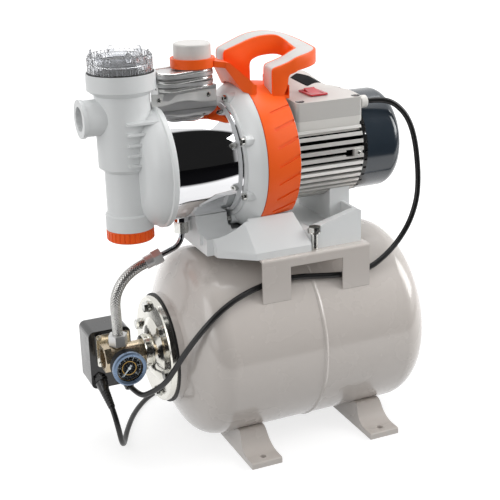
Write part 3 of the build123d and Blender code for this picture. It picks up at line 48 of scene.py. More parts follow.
slotOf = {entry["node"]: entry["material_slot"] for entry in frame["record"]["subparts"]}
mm = 0.001
micron = 0.000001
print("frame loaded,", len(nodes), "nodes")


def newObject(name, data):
    made = bpy.data.objects.new(name, data)
    bpy.context.scene.collection.objects.link(made)
    return made


# The camera stands where the photograph was taken from: its place in metres, its angles in degrees.
view = {"lens": 78.702, "sensor": 36.0, "clip": (0.05, 30.0), "place": (-0.65516, -1.38504, 0.81103),
        "yaw": 23.4878, "pitch": 19.5307, "roll": -1.505}


def aimCamera():
    # forward = heading * cos(pitch) - up * sin(pitch); right and up are then turned by the roll
    yaw, pitch, roll = (math.radians(view[key]) for key in ("yaw", "pitch", "roll"))
    level = np.array([math.cos(yaw), -math.sin(yaw), 0.0])
    forward = np.array([math.sin(yaw) * math.cos(pitch), math.cos(yaw) * math.cos(pitch), -math.sin(pitch)])
    upright = np.cross(level, forward)
    right = level * math.cos(roll) + upright * math.sin(roll)
    up = -level * math.sin(roll) + upright * math.cos(roll)
    camera = newObject("camera", bpy.data.cameras.new("camera"))
    camera.data.sensor_width, camera.data.lens = view["sensor"], view["lens"]
    camera.data.clip_start, camera.data.clip_end = view["clip"]
    matrix = np.eye(4)
    matrix[:3] = np.stack([right, up, -forward, view["place"]], 1)
    camera.matrix_world = Matrix(matrix.tolist())
    bpy.context.scene.camera = camera


aimCamera()


def tint(red, green, blue):
    # screen values 0..255 to linear light: ((c + 0.055) / 1.055) ^ 2.4
    values = np.array([red, green, blue]) / 255.0
    light = np.where(values > 0.04045, ((values + 0.055) / 1.055) ** 2.4, values / 12.92)
    return (*[float(v) for v in light], 1.0)


def node(tree, kind, inputs=None, **settings):
    # one shader node; each input takes a fixed value or another node's output
    made = tree.nodes.new("ShaderNode" + kind)
    for key, value in settings.items():
        setattr(made, key, value)
    for key, value in (inputs or {}).items():
        if isinstance(value, bpy.types.NodeSocket):
            tree.links.new(value, made.inputs[key])
        else:
            made.inputs[key].default_value = value
    return made


def compute(tree, operation, first, second=0.0):
    return node(tree, "Math", {0: first, 1: second}, operation=operation).outputs[0]


def ranged(tree, value, source, target=(0.0, 1.0)):
    # source low..high becomes target low..high, held at both ends
    limits = {"From Min": source[0], "From Max": source[1], "To Min": target[0], "To Max": target[1]}
    return node(tree, "MapRange", {"Value": value, **limits}).outputs["Result"]


def mixed(tree, share, first, second):
    # colour = first * (1 - share) + second * share
    return node(tree, "Mix", {0: share, 6: first, 7: second}, data_type="RGBA").outputs[2]


# Finishes: colour, roughness, metallic share, and what differs from the plain values of makeFinish.
# mottle, grain and peel are noise scales, depths are thousandths of a millimetre, edge is in millimetres.
moulded = {"mottle": 10, "spread": 0.015, "grain": 1800, "grainDepth": 12, "edge": 0.8}
cast = {"mottle": 14, "grain": 1400, "grainDepth": 12, "roughSpread": 0.04, "edge": 0.6,
        "squeeze": (0.4, 1, 1)}
finishRows = {
    "tank_paint": ((207, 200, 194), 0.26, 0, dict(mottle=6, spread=0.012, roughSpread=0.04, peel=260,
                                                  peelDepth=30, Coat_Weight=0.6, Coat_Roughness=0.08)),
    "pump_plastic": ((232, 234, 234), 0.36, 0, moulded),
    "box_plastic": ((228, 226, 221), 0.38, 0, moulded),
    "lid_plastic": ((204, 202, 198), 0.4, 0, moulded),
    "orange_plastic": ((255, 96, 14), 0.42, 0, dict(mottle=9, grain=1600, grainDepth=10, edge=0.9,
                                                    Coat_Weight=0.08, Coat_Roughness=0.25,
                                                    Specular_IOR_Level=0.35)),
    "pale_plastic": ((203, 200, 198), 0.38, 0, dict(mottle=9, spread=0.015, grainDepth=8, edge=0.6)),
    "white_plastic": ((214, 211, 207), 0.34, 0, dict(mottle=9, spread=0.012, grainDepth=8, edge=0.7)),
    "slate_plastic": ((44, 53, 62), 0.2, 0, dict(mottle=9, spread=0.05, grainDepth=6, edge=0.7,
                                                 Coat_Weight=0.5, Coat_Roughness=0.1)),
    "black_plastic": ((22, 22, 23), 0.25, 0, dict(mottle=12, spread=0.1, grainDepth=6, edge=0.6, peel=300,
                                                  peelDepth=40, Coat_Weight=0.4, Coat_Roughness=0.08)),
    "inner_plastic": ((30, 30, 31), 0.5, 0, dict(mottle=20, spread=0.1, grain=900, grainDepth=20)),
    "red_plastic": ((206, 66, 74), 0.22, 0, dict(spread=0.08, edge=0.6)),
    # clear plastic of the filter lid; painted shade darkens its colour where it is seen edge on
    "clear_plastic": ((250, 251, 253), 0.06, 0, dict(mottle=20, spread=0.01, grain=500, grainDepth=3,
                                                     roughSpread=0.02, edge=0.4, IOR=1.36,
                                                     Transmission_Weight=0.9)),
    "gauge_glass": ((240, 246, 250), 0.02, 0, dict(mottle=20, spread=0.01, grain=500, grainDepth=1,
                                                   roughSpread=0.005, edge=0.1, IOR=1.15,
                                                   Transmission_Weight=1)),
    "lead_rubber": ((20, 20, 21), 0.38, 0, dict(spread=0.12, grain=2200, grainDepth=10, edge=0.2)),
    "seal_rubber": ((18, 18, 18), 0.55, 0, dict(spread=0.15, grain=1200, grainDepth=30)),
    "dial_black": ((10, 11, 14), 0.5, 0, dict(spread=0.1, Specular_IOR_Level=0.1)),
    "needle_white": ((226, 226, 224), 0.4, 0, dict(mottle=60, spread=0.02, edge=0.1)),
    "dial_gold": ((206, 160, 86), 0.3, 0.9, dict(mottle=60, spread=0.06, edge=0.1)),
    "bezel_chrome": ((122, 142, 168), 0.3, 0.7, dict(spread=0.05)),
    "zinc_plate": ((222, 220, 212), 0.17, 1, dict(mottle=18, spread=0.05, grain=1300, grainDepth=12,
                                                  edge=0.6)),
    "bolt_steel": ((206, 206, 202), 0.2, 1, dict(mottle=60, spread=0.08, grain=1800, grainDepth=10,
                                                 roughSpread=0.08, edge=0.4)),
    "stainless": ((226, 226, 228), 0.035, 1, dict(mottle=12, spread=0.015, grain=700, grainDepth=1.2,
                                                  roughSpread=0.02, edge=0.4, squeeze=(1, 6, 6))),
    "tube_chrome": ((178, 180, 184), 0.1, 1, dict(mottle=40, grain=900, grainDepth=2, roughSpread=0.03)),
    "shaft_steel": ((170, 170, 172), 0.22, 1, dict(mottle=60, spread=0.05, grain=2000, grainDepth=8,
                                                   squeeze=(0.1, 1, 1))),
    # steel braid over a dark liner; its colour carries the liner in the gaps and painted shade down the
    # strands' sides
    "braid_steel": ((222, 221, 218), 0.24, 0.8, dict(mottle=80, spread=0.12, grain=2500, grainDepth=20,
                                                     roughSpread=0.08, edge=0.2)),
    "aluminium": ((214, 214, 214), 0.34, 0.6, cast),
    # the head's front plate: a lighter, less metallic copy of the cast aluminium, painted brighter than the
    # rest of the head
    "plate_aluminium_painted_light": ((240, 240, 238), 0.34, 0.25, cast),
    # the motor's finned housing: its colour carries painted shade deep between the fins
    "fin_aluminium": ((236, 234, 230), 0.36, 0.45, cast),
    "polished_aluminium": ((224, 224, 222), 0.2, 0.75, dict(mottle=20, spread=0.04, grain=1200, grainDepth=6,
                                                            edge=0.8)),
    "brass": ((206, 190, 164), 0.24, 0.9, dict(mottle=50, spread=0.1, grainDepth=10, roughSpread=0.08,
                                               edge=0.4)),
    "copper": ((178, 104, 62), 0.4, 0.9, dict(mottle=60, spread=0.15, grain=700, grainDepth=200,
                                              squeeze=(4, 1, 1))),
}


def makeFinish(name, colour, roughness, metallic, mottle=30, spread=0.03, grain=1500, grainDepth=4,
               roughSpread=0.05, edge=0.5, squeeze=(1, 1, 1), peel=0, peelDepth=0, **sockets):
    # colour = base * (1 +- spread * noise), roughness = base +- roughSpread * noise; a fine bump lies over
    # softened edges
    material = bpy.data.materials.new(name)
    material.use_nodes = True
    material.diffuse_color = tint(*colour)
    tree = material.node_tree
    shader = tree.nodes["Principled BSDF"]
    fixed = {"Base Color": tint(*colour), "Roughness": roughness, "Metallic": metallic, **sockets}
    for key, value in fixed.items():
        shader.inputs[key.replace("_", " ")].default_value = value
    place = node(tree, "TexCoord").outputs["Object"]
    vector = node(tree, "Mapping", {"Vector": place, "Scale": squeeze}).outputs["Vector"]

    def noise(scale, detail, rough=0.5):
        inputs = {"Vector": vector, "Scale": scale, "Detail": detail, "Roughness": rough}
        return node(tree, "TexNoise", inputs).outputs["Fac"]

    def bump(height, depth, normal):
        inputs = {"Strength": 1.0, "Distance": depth * micron, "Height": height, "Normal": normal}
        return node(tree, "Bump", inputs).outputs["Normal"]

    clouds = node(tree, "ValToRGB", {"Fac": noise(mottle, 5.0, 0.6)})
    for stop, position, factor in zip(clouds.color_ramp.elements, (0.3, 0.7), (1 - spread, 1 + spread)):
        stop.position = position
        stop.color = (*np.clip(np.array(tint(*colour)[:3]) * factor, 0, 1), 1)
    gloss = (max(roughness - roughSpread, 0.01), roughness + roughSpread)
    rough = ranged(tree, noise(mottle * 3.1, 3.0), (0.3, 0.7), gloss)
    bevel = node(tree, "Bevel", {"Radius": edge * mm}, samples=4)
    normal = bump(noise(grain, 2.0), grainDepth, bevel.outputs["Normal"])
    if peel:
        normal = bump(noise(peel, 1.0), peelDepth, normal)
    for key, source in (("Base Color", clouds.outputs["Color"]), ("Roughness", rough), ("Normal", normal)):
        tree.links.new(source, shader.inputs[key])
    return material


finishes = {name: makeFinish(name, *row[:3], **row[3]) for name, row in finishRows.items()}

# Painted shade, and a liner: the gaps of the braid get the dark colour of its liner together with painted
# shade down the strands' sides, clear plastic seen edge on gets a painted dark edge, and the depth between
# the motor's fins gets painted shade.
shades = {"gap_liner_and_shade": (26, 26, 27), "edge": (90, 91, 98), "edgeShadeBlend": 0.35, "edgeShadeShare": 0.6,
          "fin": (12, 12, 13), "motorAxis": 0.422, "finDepth": (0.0675, 0.0725)}


def darken(name, share, dark):
    # colour = finish * (1 - share) + dark * share
    tree = finishes[name].node_tree
    colour = tree.nodes["Principled BSDF"].inputs["Base Color"]
    result = mixed(tree, share, colour.links[0].from_socket, tint(*dark))
    tree.links.new(result, colour)
    return result


def paintLinerAndShadeInGaps():
    # the share is stored on the mesh: the dark liner between the strands, with painted shade down the
    # strands' sides
    tree = finishes["braid_steel"].node_tree
    darken("braid_steel", node(tree, "Attribute", attribute_name="gap_liner_and_shade").outputs["Fac"], shades["gap_liner_and_shade"])


def paintEdgeShade():
    # painted shade: the clear plastic's colour turns dark where it is seen edge on, by the Layer Weight's
    # facing
    tree = finishes["clear_plastic"].node_tree
    facing = node(tree, "LayerWeight", {"Blend": shades["edgeShadeBlend"]}).outputs["Facing"]
    darken("clear_plastic", compute(tree, "MULTIPLY", facing, shades["edgeShadeShare"]), shades["edge"])


def paintFinShade():
    # painted shade deep between the fins, on the colour and the specular tint: share = 1 - (r - low) / (high
    # - low) held to 0..1, with r from the motor's axis in metres
    tree = finishes["fin_aluminium"].node_tree
    place = node(tree, "TexCoord").outputs["Object"]
    shift = {"Vector": place, "Scale": (0, 1, 1), "Location": (0, 0, -shades["motorAxis"])}
    away = node(tree, "Mapping", shift).outputs["Vector"]
    reach = node(tree, "VectorMath", {0: away}, operation="LENGTH").outputs["Value"]
    colour = darken("fin_aluminium", ranged(tree, reach, shades["finDepth"], (1.0, 0.0)), shades["fin"])
    tree.links.new(colour, tree.nodes["Principled BSDF"].inputs["Specular Tint"])


paintLinerAndShadeInGaps()
paintEdgeShade()
paintFinShade()
print("finishes made")

# How meshes are cleaned: points merged, slivers dissolved (metres), flat faces joined (degrees).
clean = {"merge": 0.000002, "sliver": 0.0000005, "flat": 0.4}


def edit(mesh, change, outwards=True):
    # opens a mesh for a change, and turns its faces outwards
    work = bmesh.new()
    work.from_mesh(mesh)
    change(work)
    if outwards:
        bmesh.ops.recalc_face_normals(work, faces=work.faces)
    work.to_mesh(mesh)
    work.free()


def dress(name, mesh, part, slot, finish, smooth):
    # smooth up to an edge angle, with its finish; it rides with the CAD node that is named as part
    mesh.polygons.foreach_set("use_smooth", np.ones(len(mesh.polygons), bool))
    mesh.set_sharp_from_angle(angle=math.radians(smooth))
    mesh.materials.clear()
    mesh.materials.append(finishes[finish or slot])
    piece = newObject(name, mesh)
    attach(piece, bodyOf[part])
    return piece


def addPiece(name, mesh, part, slot, finish=None, smooth=32.0):
    def weld(work):
        bmesh.ops.remove_doubles(work, verts=work.verts, dist=clean["merge"])
        bmesh.ops.dissolve_degenerate(work, edges=work.edges, dist=clean["sliver"])

    edit(mesh, weld)
    return dress(name, mesh, part, slot, finish, smooth)


def mergedCopy(name, slot=None, finish=None):
    # a welded copy of a CAD node stands for the node
    source = nodes[name].data
    points = np.zeros(len(source.vertices) * 3, np.float32)
    source.vertices.foreach_get("co", points)
    source.calc_loop_triangles()
    corners = np.zeros(len(source.loop_triangles) * 3, np.int32)
    source.loop_triangles.foreach_get("vertices", corners)
    mesh = bpy.data.meshes.new(name + "_skin")
    mesh.from_pydata(points.reshape(-1, 3), [], corners.reshape(-1, 3).tolist())

    def weld(work):
        bmesh.ops.remove_doubles(work, verts=work.verts, dist=clean["merge"])
        bmesh.ops.dissolve_limit(work, angle_limit=math.radians(clean["flat"]), verts=work.verts,
                                 edges=work.edges)

    edit(mesh, weld, outwards=False)
    piece = dress(name + "_skin", mesh, name, slot or slotOf[name], finish, 30.0)
    piece.modifiers.new("weighted", "WEIGHTED_NORMAL").keep_sharp = True
    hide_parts(name)
    return piece


def gridFaces(rows, columns, closed):
    # neighbours on a rows x columns grid make quads; columns close into a ring, and rows do so if closed
    i, j = np.meshgrid(np.arange(rows if closed else rows - 1), np.arange(columns), indexing="ij")
    i2, j2 = (i + 1) % rows, (j + 1) % columns
    corners = [i * columns + j, i * columns + j2, i2 * columns + j2, i2 * columns + j]
    return np.stack(corners, -1).reshape(-1, 4)


def gridMesh(name, grids, closed=False):
    # one mesh from point grids of shape (rows, columns, 3); where rows don't close, each end gets a face
    points, faces, ends, count = [], [], [], 0
    for grid in grids:
        rows, columns = grid.shape[:2]
        points.append(grid.reshape(-1, 3))
        faces += (gridFaces(rows, columns, closed) + count).tolist()
        last = count + (rows - 1) * columns
        ends += [] if closed else [list(range(count, count + columns)), list(range(last, last + columns))]
        count += rows * columns
    mesh = bpy.data.meshes.new(name)
    mesh.from_pydata(np.concatenate(points), [], faces + ends)
    mesh.update()
    return mesh


def cappedPiece(name, grids, part, slot, finish=None, smooth=32.0):
    return addPiece(name, gridMesh(name, grids), part, slot, finish, smooth)


def ringPiece(name, grids, part, slot, finish=None, smooth=32.0):
    return addPiece(name, gridMesh(name, grids, closed=True), part, slot, finish, smooth)


def soften(corners, radius, steps):
    # each corner of an open profile is replaced by a short quadratic curve
    corners = np.array(corners, float)
    out = [corners[:1]]
    t = np.linspace(0, 1, steps + 1)[:, None]
    for before, corner, after in zip(corners[:-2], corners[1:-1], corners[2:]):
        a, b = before - corner, after - corner
        la, lb = np.hypot(*a), np.hypot(*b)
        reach = min(radius, 0.45 * la, 0.45 * lb)
        start, end = corner + a / la * reach, corner + b / lb * reach
        out.append((1 - t) ** 2 * start + 2 * t * (1 - t) * corner + t ** 2 * end)
    out.append(corners[-1:])
    return np.concatenate(out)


def turned(profile, axis, centre, steps, ripple=None):
    # a profile of (along, radius) carried round an axis; ripple(along, radius, angle) may change the radius
    profile = np.array(profile, float)
    angle = np.linspace(0, 2 * np.pi, steps, endpoint=False)
    along, angles = np.meshgrid(profile[:, 0], angle, indexing="ij")
    radius = np.repeat(profile[:, 1][:, None], steps, 1)
    if ripple is not None:
        radius = ripple(along, radius, angles)
    first, second = radius * np.cos(angles), radius * np.sin(angles)
    order = {"x": (along, first, second), "y": (second, along, first), "z": (first, second, along)}[axis]
    return (np.stack(order, -1) + np.array(centre)) * mm


def splineCurve(name, points, radius):
    # an open quadratic NURBS spline with the route's points as its control points
    curve = bpy.data.curves.new(name, "CURVE")
    curve.dimensions = "3D"
    curve.bevel_depth = radius * mm
    curve.bevel_resolution = 6
    curve.use_fill_caps = True
    spline = curve.splines.new("NURBS")
    spline.points.add(len(points) - 1)
    places = np.concatenate([np.array(points, float) * mm, np.ones((len(points), 1))], 1)
    spline.points.foreach_set("co", places.ravel())
    spline.order_u = 3
    spline.use_endpoint_u = True
    spline.resolution_u = 10
    curve.materials.append(finishes["lead_rubber"])
    return newObject(name, curve)


# Motor lead: from the gland behind the motor over the tank to the pressure switch.
motorLead = {"radius": 4.0, "length": 0.82, "route": [
    (104, -52, 488.5), (124, -53, 489.5), (147, -58, 485.5), (164.5, -63, 470), (175.5, -66, 450),
    (182, -68.5, 424), (185.5, -70, 396), (185.5, -74, 367), (181, -78, 338), (167.5, -82, 308),
    (145, -88, 284), (118, -97, 268.5), (89, -102, 256), (58, -103, 253.5), (22, -101, 256), (-18, -97, 261),
    (-56, -96.5, 261.5), (-92, -101.5, 257), (-126, -110, 249.5), (-157, -116, 234.5), (-180, -110, 208.5),
    (-196, -98, 180.5), (-209.5, -87.5, 153), (-220, -75, 128.5), (-232, -43, 102.5), (-241.5, -19, 88.5),
    (-247, 12.75, 94.3)]}
lead = splineCurve("motor_lead_cord", motorLead["route"], motorLead["radius"])
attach(lead, "base")
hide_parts("motor_lead")

# Mains lead: down from the switch, along the floor behind the tank, and four turns of a coil to its plug.
mainsLead = {"radius": 4.0, "length": 1.57, "coilCentre": (-60.0, 205.0), "turnSteps": 15, "slide": 0.2,
             "turns": [(48.6, 4.3), (40.5, 4.3), (40.5, 12.4), (48.6, 12.4)],
             "run": [(-284, 12.75, 94.3), (-283.1, 2.8, 87.7), (-281.2, -18.1, 73.7), (-278, -27.5, 47.7),
                     (-272.5, -19.5, 21.1), (-263, 2.7, 4.7), (-246, 42, 4.5), (-218, 92, 4.6),
                     (-178, 137, 4.5), (-142, 152, 4.6), (-110, 156.2, 4.4), (-83, 156.4, 4.3)],
             "tail": [(-38.2, 156.4, 14.6), (-19.5, 168.9, 18.8), (-10.5, 192.2, 20.6),
                      (8.5, 205, 19), (28, 205, 19), (30, 205, 19)]}


def coilPoints():
    # turn k runs at radius r(k) and height z(k); both slide to the next turn's over the last share of a turn
    steps, turns, slide = mainsLead["turnSteps"], np.array(mainsLead["turns"]), mainsLead["slide"]
    count = np.arange(steps * len(turns) + 1)
    angle = -np.pi / 2 + count * 2 * np.pi / steps
    turn = np.minimum(count // steps, len(turns) - 1)
    later = np.minimum(turn + 1, len(turns) - 1)
    share = np.clip((count % steps - steps * (1 - slide)) / (steps * slide), 0, 1)[:, None]
    radius, height = (turns[turn] * (1 - share) + turns[later] * share).T
    centre = mainsLead["coilCentre"]
    return np.stack([centre[0] + radius * np.cos(angle), centre[1] + radius * np.sin(angle), height], -1)


mainsRoute = np.concatenate([mainsLead["run"], coilPoints(), mainsLead["tail"]])
mains = splineCurve("mains_lead_cord", mainsRoute, mainsLead["radius"])
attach(mains, "base")
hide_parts("mains_lead", "mains_coil")
plugSkin = mergedCopy("mains_plug")
print("leads laid")

# The other CAD nodes: nodes with a piece of their own below, and nodes that differ in slot or finish.
ownPiece = {"motor_lead", "mains_lead", "mains_coil", "mains_plug", "carrying_handle", "handle_inlay",
            "pump_casing", "filter_lid", "braided_hose", "discharge_head"}
otherSlot = {"rocker_bezel": "red_plastic", "end_shield": "black_plastic", "box_gland": "box_plastic"}
# the motor housing takes the finish that carries painted shade between its fins
otherFinish = {"terminal_lid": "lid_plastic", "hose_fittings": "aluminium", "motor_housing": "fin_aluminium",
               "gauge_glass": "gauge_glass"}
for name in sorted(set(nodes) - ownPiece):
    mergedCopy(name, otherSlot.get(name), otherFinish.get(name))
print("nodes dressed")

# Handle: grip, legs and pale inlay are one swept band. Each row of its front and rear is a point of the
# outer line, a point of the inner line and the direction across. Each row of its arc is an angle, the
# height of the outer line and the depth of the band.
handle = {
    "halfWidth": 15.6, "grooveHalf": 12.2, "groove": 1.8, "axisZ": 422.0, "seat": 99.0,
    "arcCentre": (3.5, 2.0), "arcRadius": 33.4, "arcStretch": 1.03, "arcLean": 0.1, "inlayShort": 5,
    "front": [
        (-34.3, -32.5, 506, -17.4, -32.5, 506, 0, 1, 0), (-34.3, -32.5, 526, -10, -32.5, 521, 0, 1, 0),
        (-34.3, -32.5, 542, -8.8, -32.5, 533.5, 0, 1, 0.02),
        (-33, -32.5, 548.6, -6, -32.5, 537.5, 0, 1, 0.08),
        (-20, -32.5, 551.6, 0, -32.5, 539, 0, 1, 0.1), (-6, -32.5, 556, 5, -32.5, 541, 0, 1, 0.1)],
    "arc": [(-90, 561.0, 19.5), (-60, 564, 20), (-30, 565, 20.5), (0, 564.5, 21.5), (30, 569.5, 23.5),
            (60, 578, 26), (90, 583.2, 27.5)],
    "rear": [
        (-16, 36.5, 583.4, -16, 36.5, 555.5, 0, -1, -0.1), (-34, 35.5, 581, -27, 35.5, 553.5, 0, -1, -0.1),
        (-54, 33.5, 574.5, -36, 33.5, 549.5, 0, -1, -0.08), (-69, 32.5, 569.2, -38, 32.5, 543, 0, -1, -0.04),
        (-77.6, 32.5, 566, -37.8, 32.5, 536, 0, -1, 0), (-78, 32.5, 553, -37.8, 32.5, 530, 0, -1, 0),
        (-73, 32.5, 537, -37.8, 32.5, 524, 0, -1, 0), (-68, 32.5, 522, -37.8, 32.5, 516, 0, -1, 0),
        (-67, 32.5, 506, -37.8, 32.5, 506, 0, -1, 0)]}


def smoothRows(rows, rounds=4):
    # corner cutting: each run gives the points at a quarter and three quarters of it, and both ends stay
    rows = np.array(rows, float)
    for _ in range(rounds):
        cut = np.stack([0.75 * rows[:-1] + 0.25 * rows[1:], 0.25 * rows[:-1] + 0.75 * rows[1:]], 1)
        rows = np.concatenate([rows[:1], cut.reshape(-1, rows.shape[1]), rows[-1:]])
    return rows


def bandGrid(rows, section):
    # point = outer line (side 0) or inner line (side 1) + across * a + towards the other line * depth
    outer, inner, across = rows[:, :3], rows[:, 3:6], rows[:, 6:9]
    across = across / np.linalg.norm(across, axis=1, keepdims=True)
    through = inner - outer
    through = through / np.linalg.norm(through, axis=1, keepdims=True)
    a, depth, side = (np.array(section, float)[None, :, k:k + 1] for k in range(3))
    line = outer[:, None] * (1 - side) + inner[:, None] * side
    return line + across[:, None] * a + (1 - 2 * side) * through[:, None] * depth


def gripLine():
    # the right end is an arc: x = cx + r cos a, y = cy + stretch r sin a, and the direction across is
    # (-cos a, -sin a, -lean sin a)
    angle, outer, depth = np.array(handle["arc"], float).T
    c, s = np.cos(np.radians(angle)), np.sin(np.radians(angle))
    x = handle["arcCentre"][0] + handle["arcRadius"] * c
    y = handle["arcCentre"][1] + handle["arcStretch"] * handle["arcRadius"] * s
    bend = np.stack([x, y, outer, x, y, outer - depth, -c, -s, -handle["arcLean"] * s], -1)
    return smoothRows(np.concatenate([handle["front"], bend, handle["rear"]]))


def makeGrip():
    rows = gripLine()
    h, g, d = handle["halfWidth"], handle["grooveHalf"], handle["groove"]
    half = [(g, d, 0), (g, 0.2, 0), (g + 0.3, 0, 0), (h - 1.2, 0.05, 0), (h - 0.4, 0.5, 0), (h, 1.6, 0),
            (h, 3.0, 1), (h - 0.7, 1.0, 1), (h - 2.2, 0.1, 1)]
    grid = bandGrid(rows, [(-a, depth, side) for a, depth, side in half] + half[::-1])
    for end in (0, -1):  # both legs end in the band, on a round surface about the pump axis
        grid[end, :, 2] = handle["axisZ"] + np.sqrt(handle["seat"] ** 2 - grid[end, :, 1] ** 2)
    cappedPiece("handle_grip", [grid * mm], "carrying_handle", "orange_plastic")
    i = g - 0.15
    half = [(i, d - 0.1, 0), (i, 0.2, 0), (i - 0.25, -0.2, 0), (i - 1.2, -0.5, 0)]
    short = handle["inlayShort"]
    inlay = bandGrid(rows[short:-short], [(-a, depth, side) for a, depth, side in half] + half[::-1])
    piece = cappedPiece("handle_inlay_skin", [inlay * mm], "handle_inlay", "pale_plastic")
    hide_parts("handle_inlay")


def cutCopy(piece, planes, leaveOut):
    # a copy is split along planes (point, normal), faces whose centres pass the test go, holes are closed
    def cut(work):
        for point, normal in planes:
            bmesh.ops.bisect_plane(work, geom=work.verts[:] + work.edges[:] + work.faces[:], dist=micron,
                                   plane_co=[value * mm for value in point], plane_no=normal)
        centres = np.array([tuple(face.calc_center_median()) for face in work.faces]) / mm
        gone = leaveOut(*centres.T)
        bmesh.ops.delete(work, geom=[face for face, out in zip(work.faces[:], gone) if out], context="FACES")
        bmesh.ops.holes_fill(work, edges=[edge for edge in work.edges if edge.is_boundary], sides=0)

    edit(piece.data, cut)
    piece.data.set_sharp_from_angle(angle=math.radians(30))


# The arm towards the filling cap ends in the band: it is cut where it leaves the band's outside.
arm = {"top": [(-108.5, 561.4), (-88, 557.4), (-60, 528.4), (-24, 524.4), (60, 515.0)],
       "from": -93.0, "skin": 0.02, "ends": [(-57.0, 103.15), (-10.0, 97.86)],
       "halfAngle": 33, "steps": 45, "corners": [(60, 560), (-60, 560)]}


def cutHandle():
    # the handle without grip and legs; the cutter runs between two arcs of radius r(x) about the pump axis
    piece = mergedCopy("carrying_handle")
    line = np.array(arm["top"])
    planes = [((a[0], 0, a[1]), (a[1] - b[1], 0, b[0] - a[0])) for a, b in zip(line[:-1], line[1:])]
    cutCopy(piece, planes, lambda x, y, z: (x > arm["from"]) & (z > np.interp(x, *line.T) + arm["skin"]))
    turn = np.radians(np.linspace(-arm["halfAngle"], arm["halfAngle"], arm["steps"]))
    ends = []
    for x, radius in arm["ends"]:
        arc = np.stack([0 * turn + x, radius * np.sin(turn), handle["axisZ"] + radius * np.cos(turn)], -1)
        ends.append(np.concatenate([arc, [(x, *corner) for corner in arm["corners"]]]))
    cutter = newObject("arm_cutter", gridMesh("arm_cutter", [np.array(ends) * mm]))
    edit(cutter.data, lambda work: None)
    piece.modifiers.clear()
    trim = piece.modifiers.new("trim", "BOOLEAN")
    trim.operation, trim.solver, trim.object = "DIFFERENCE", "EXACT", cutter
    bpy.context.view_layer.update()
    piece.data = bpy.data.meshes.new_from_object(piece.evaluated_get(bpy.context.evaluated_depsgraph_get()))
    piece.modifiers.clear()
    bpy.data.objects.remove(cutter)
    piece.data.set_sharp_from_angle(angle=math.radians(30))


cutHandle()
makeGrip()
print("handle made")

# Stainless casing: one thin rolled drum with a bead near each end, and the boss of its drain.
casing = {"left": -192.0, "right": -91.6, "radius": 77.6, "wall": 1.2, "axis": (0, 0, 422.0), "steps": 256,
          "beadAt": 2.6, "beadHalf": 0.6, "beadDeep": 0.35, "bossCentre": (-158.0, 0, 0), "bossSteps": 48,
          "boss": [(336.6, 5.2), (336.6, 11.2), (337.4, 12.0), (348.5, 12.0), (348.5, 5.2)]}


def makeCasing():
    left, right, r, wall = casing["left"], casing["right"], casing["radius"], casing["wall"]
    at, half, low = casing["beadAt"], casing["beadHalf"], r - casing["beadDeep"]
    profile = [(left, r - wall), (left, r), (left + at - half, r), (left + at, low), (left + at + half, r),
               (right - at - half, r), (right - at, low), (right - at + half, r), (right, r),
               (right, r - wall)]
    skin = turned(profile, "x", casing["axis"], casing["steps"])
    drum = ringPiece("pump_casing_drum", [skin], "pump_casing", "stainless")
    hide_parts("pump_casing")
    ringPiece("casing_port_boss", [turned(casing["boss"], "z", casing["bossCentre"], casing["bossSteps"])],
              "pump_casing", "stainless")


makeCasing()
print("casing made")

# Lid of the terminal box: screws in wells, the raised back and a bare dark plate.
lid = {"left": -3.5, "right": 96.5, "front": 0.0, "back": 52.5, "rise": 25.0, "fall": 39.0, "top": 501.0,
       "bow": 840.0, "bowMiddle": -12.0, "plate": [(31, 32.6), (44.5, 40.5), (78, 24), (49.5, 13.7)],
       "plateHeight": 0.9, "screws": [(4, -53, 0.3), (91, -53, 0.8)], "screwSunk": 1.5,
       "well": [(-1.2, 4.0), (-1.2, 6.2), (0.1, 6.4), (0.3, 6.1), (0.3, 4.6), (-0.5, 4.0)]}


def lidOwn(y):
    # the crown of the CAD lid: a parabola across its depth
    return lid["top"] - (y - lid["bowMiddle"]) ** 2 / lid["bow"]


def lidTop(x, y):
    # the lid's own crown, plus rise * s(y / back) * s((right - x) / fall), with s(t) = t^2 (3 - 2 t)
    t = np.clip((y - lid["front"]) / (lid["back"] - lid["front"]), 0, 1)
    u = np.clip((lid["right"] - x) / lid["fall"], 0, 1)
    return lidOwn(y) + lid["rise"] * t * t * (3 - 2 * t) * u * u * (3 - 2 * u)


# Small screws: the node that carries them, radius, height and depth of the cross, and each place with its
# direction and spin.
screws = {
    "switch_cover_screw": ("switch_cover", (3.4, 2.0, 1.1), [((-278.6, 31.0, 102.0), (0, -1, 0), 0.4)]),
    "head_screws": ("discharge_head", (3.6, 2.0, 1.2), [((-187.5, -17.4, 514.6), (0, -1, 0), 0.5),
                                                        ((-116.5, -17.4, 515.6), (0, -1, 0), 0.9)]),
    "lid_screws": ("terminal_lid", (4.4, 1.7, 1.1), [
        ((x, y, lidTop(x, y) - lid["screwSunk"]), (0, 0, 1), spin) for x, y, spin in lid["screws"]]),
    "housing_screws": ("motor_housing", (3.4, 1.6, 1.2), [
        ((84, side * 77.0, 422), (0, side, 0), 0.3) for side in (-1, 1)])}
screwFinish = {"lid_screws": "shaft_steel"}
screwCross = {"reach": 0.62, "halfArm": 0.17, "skirt": 0.8}


def placed(grid, centre, normal, spin=0.0):
    # local z is turned onto the normal, with a spin about it; millimetres in, metres out
    z = np.array(normal, float) / np.linalg.norm(normal)
    x = np.cross((0.0, 0.0, 1.0), z) if abs(z[2]) < 0.9 else np.array((1.0, 0.0, 0.0))
    x = x / np.linalg.norm(x)
    y = np.cross(z, x)
    c, s = math.cos(spin), math.sin(spin)
    x, y = x * c + y * s, -x * s + y * c
    return (grid[..., 0:1] * x + grid[..., 1:2] * y + grid[..., 2:3] * z + np.array(centre, float)) * mm


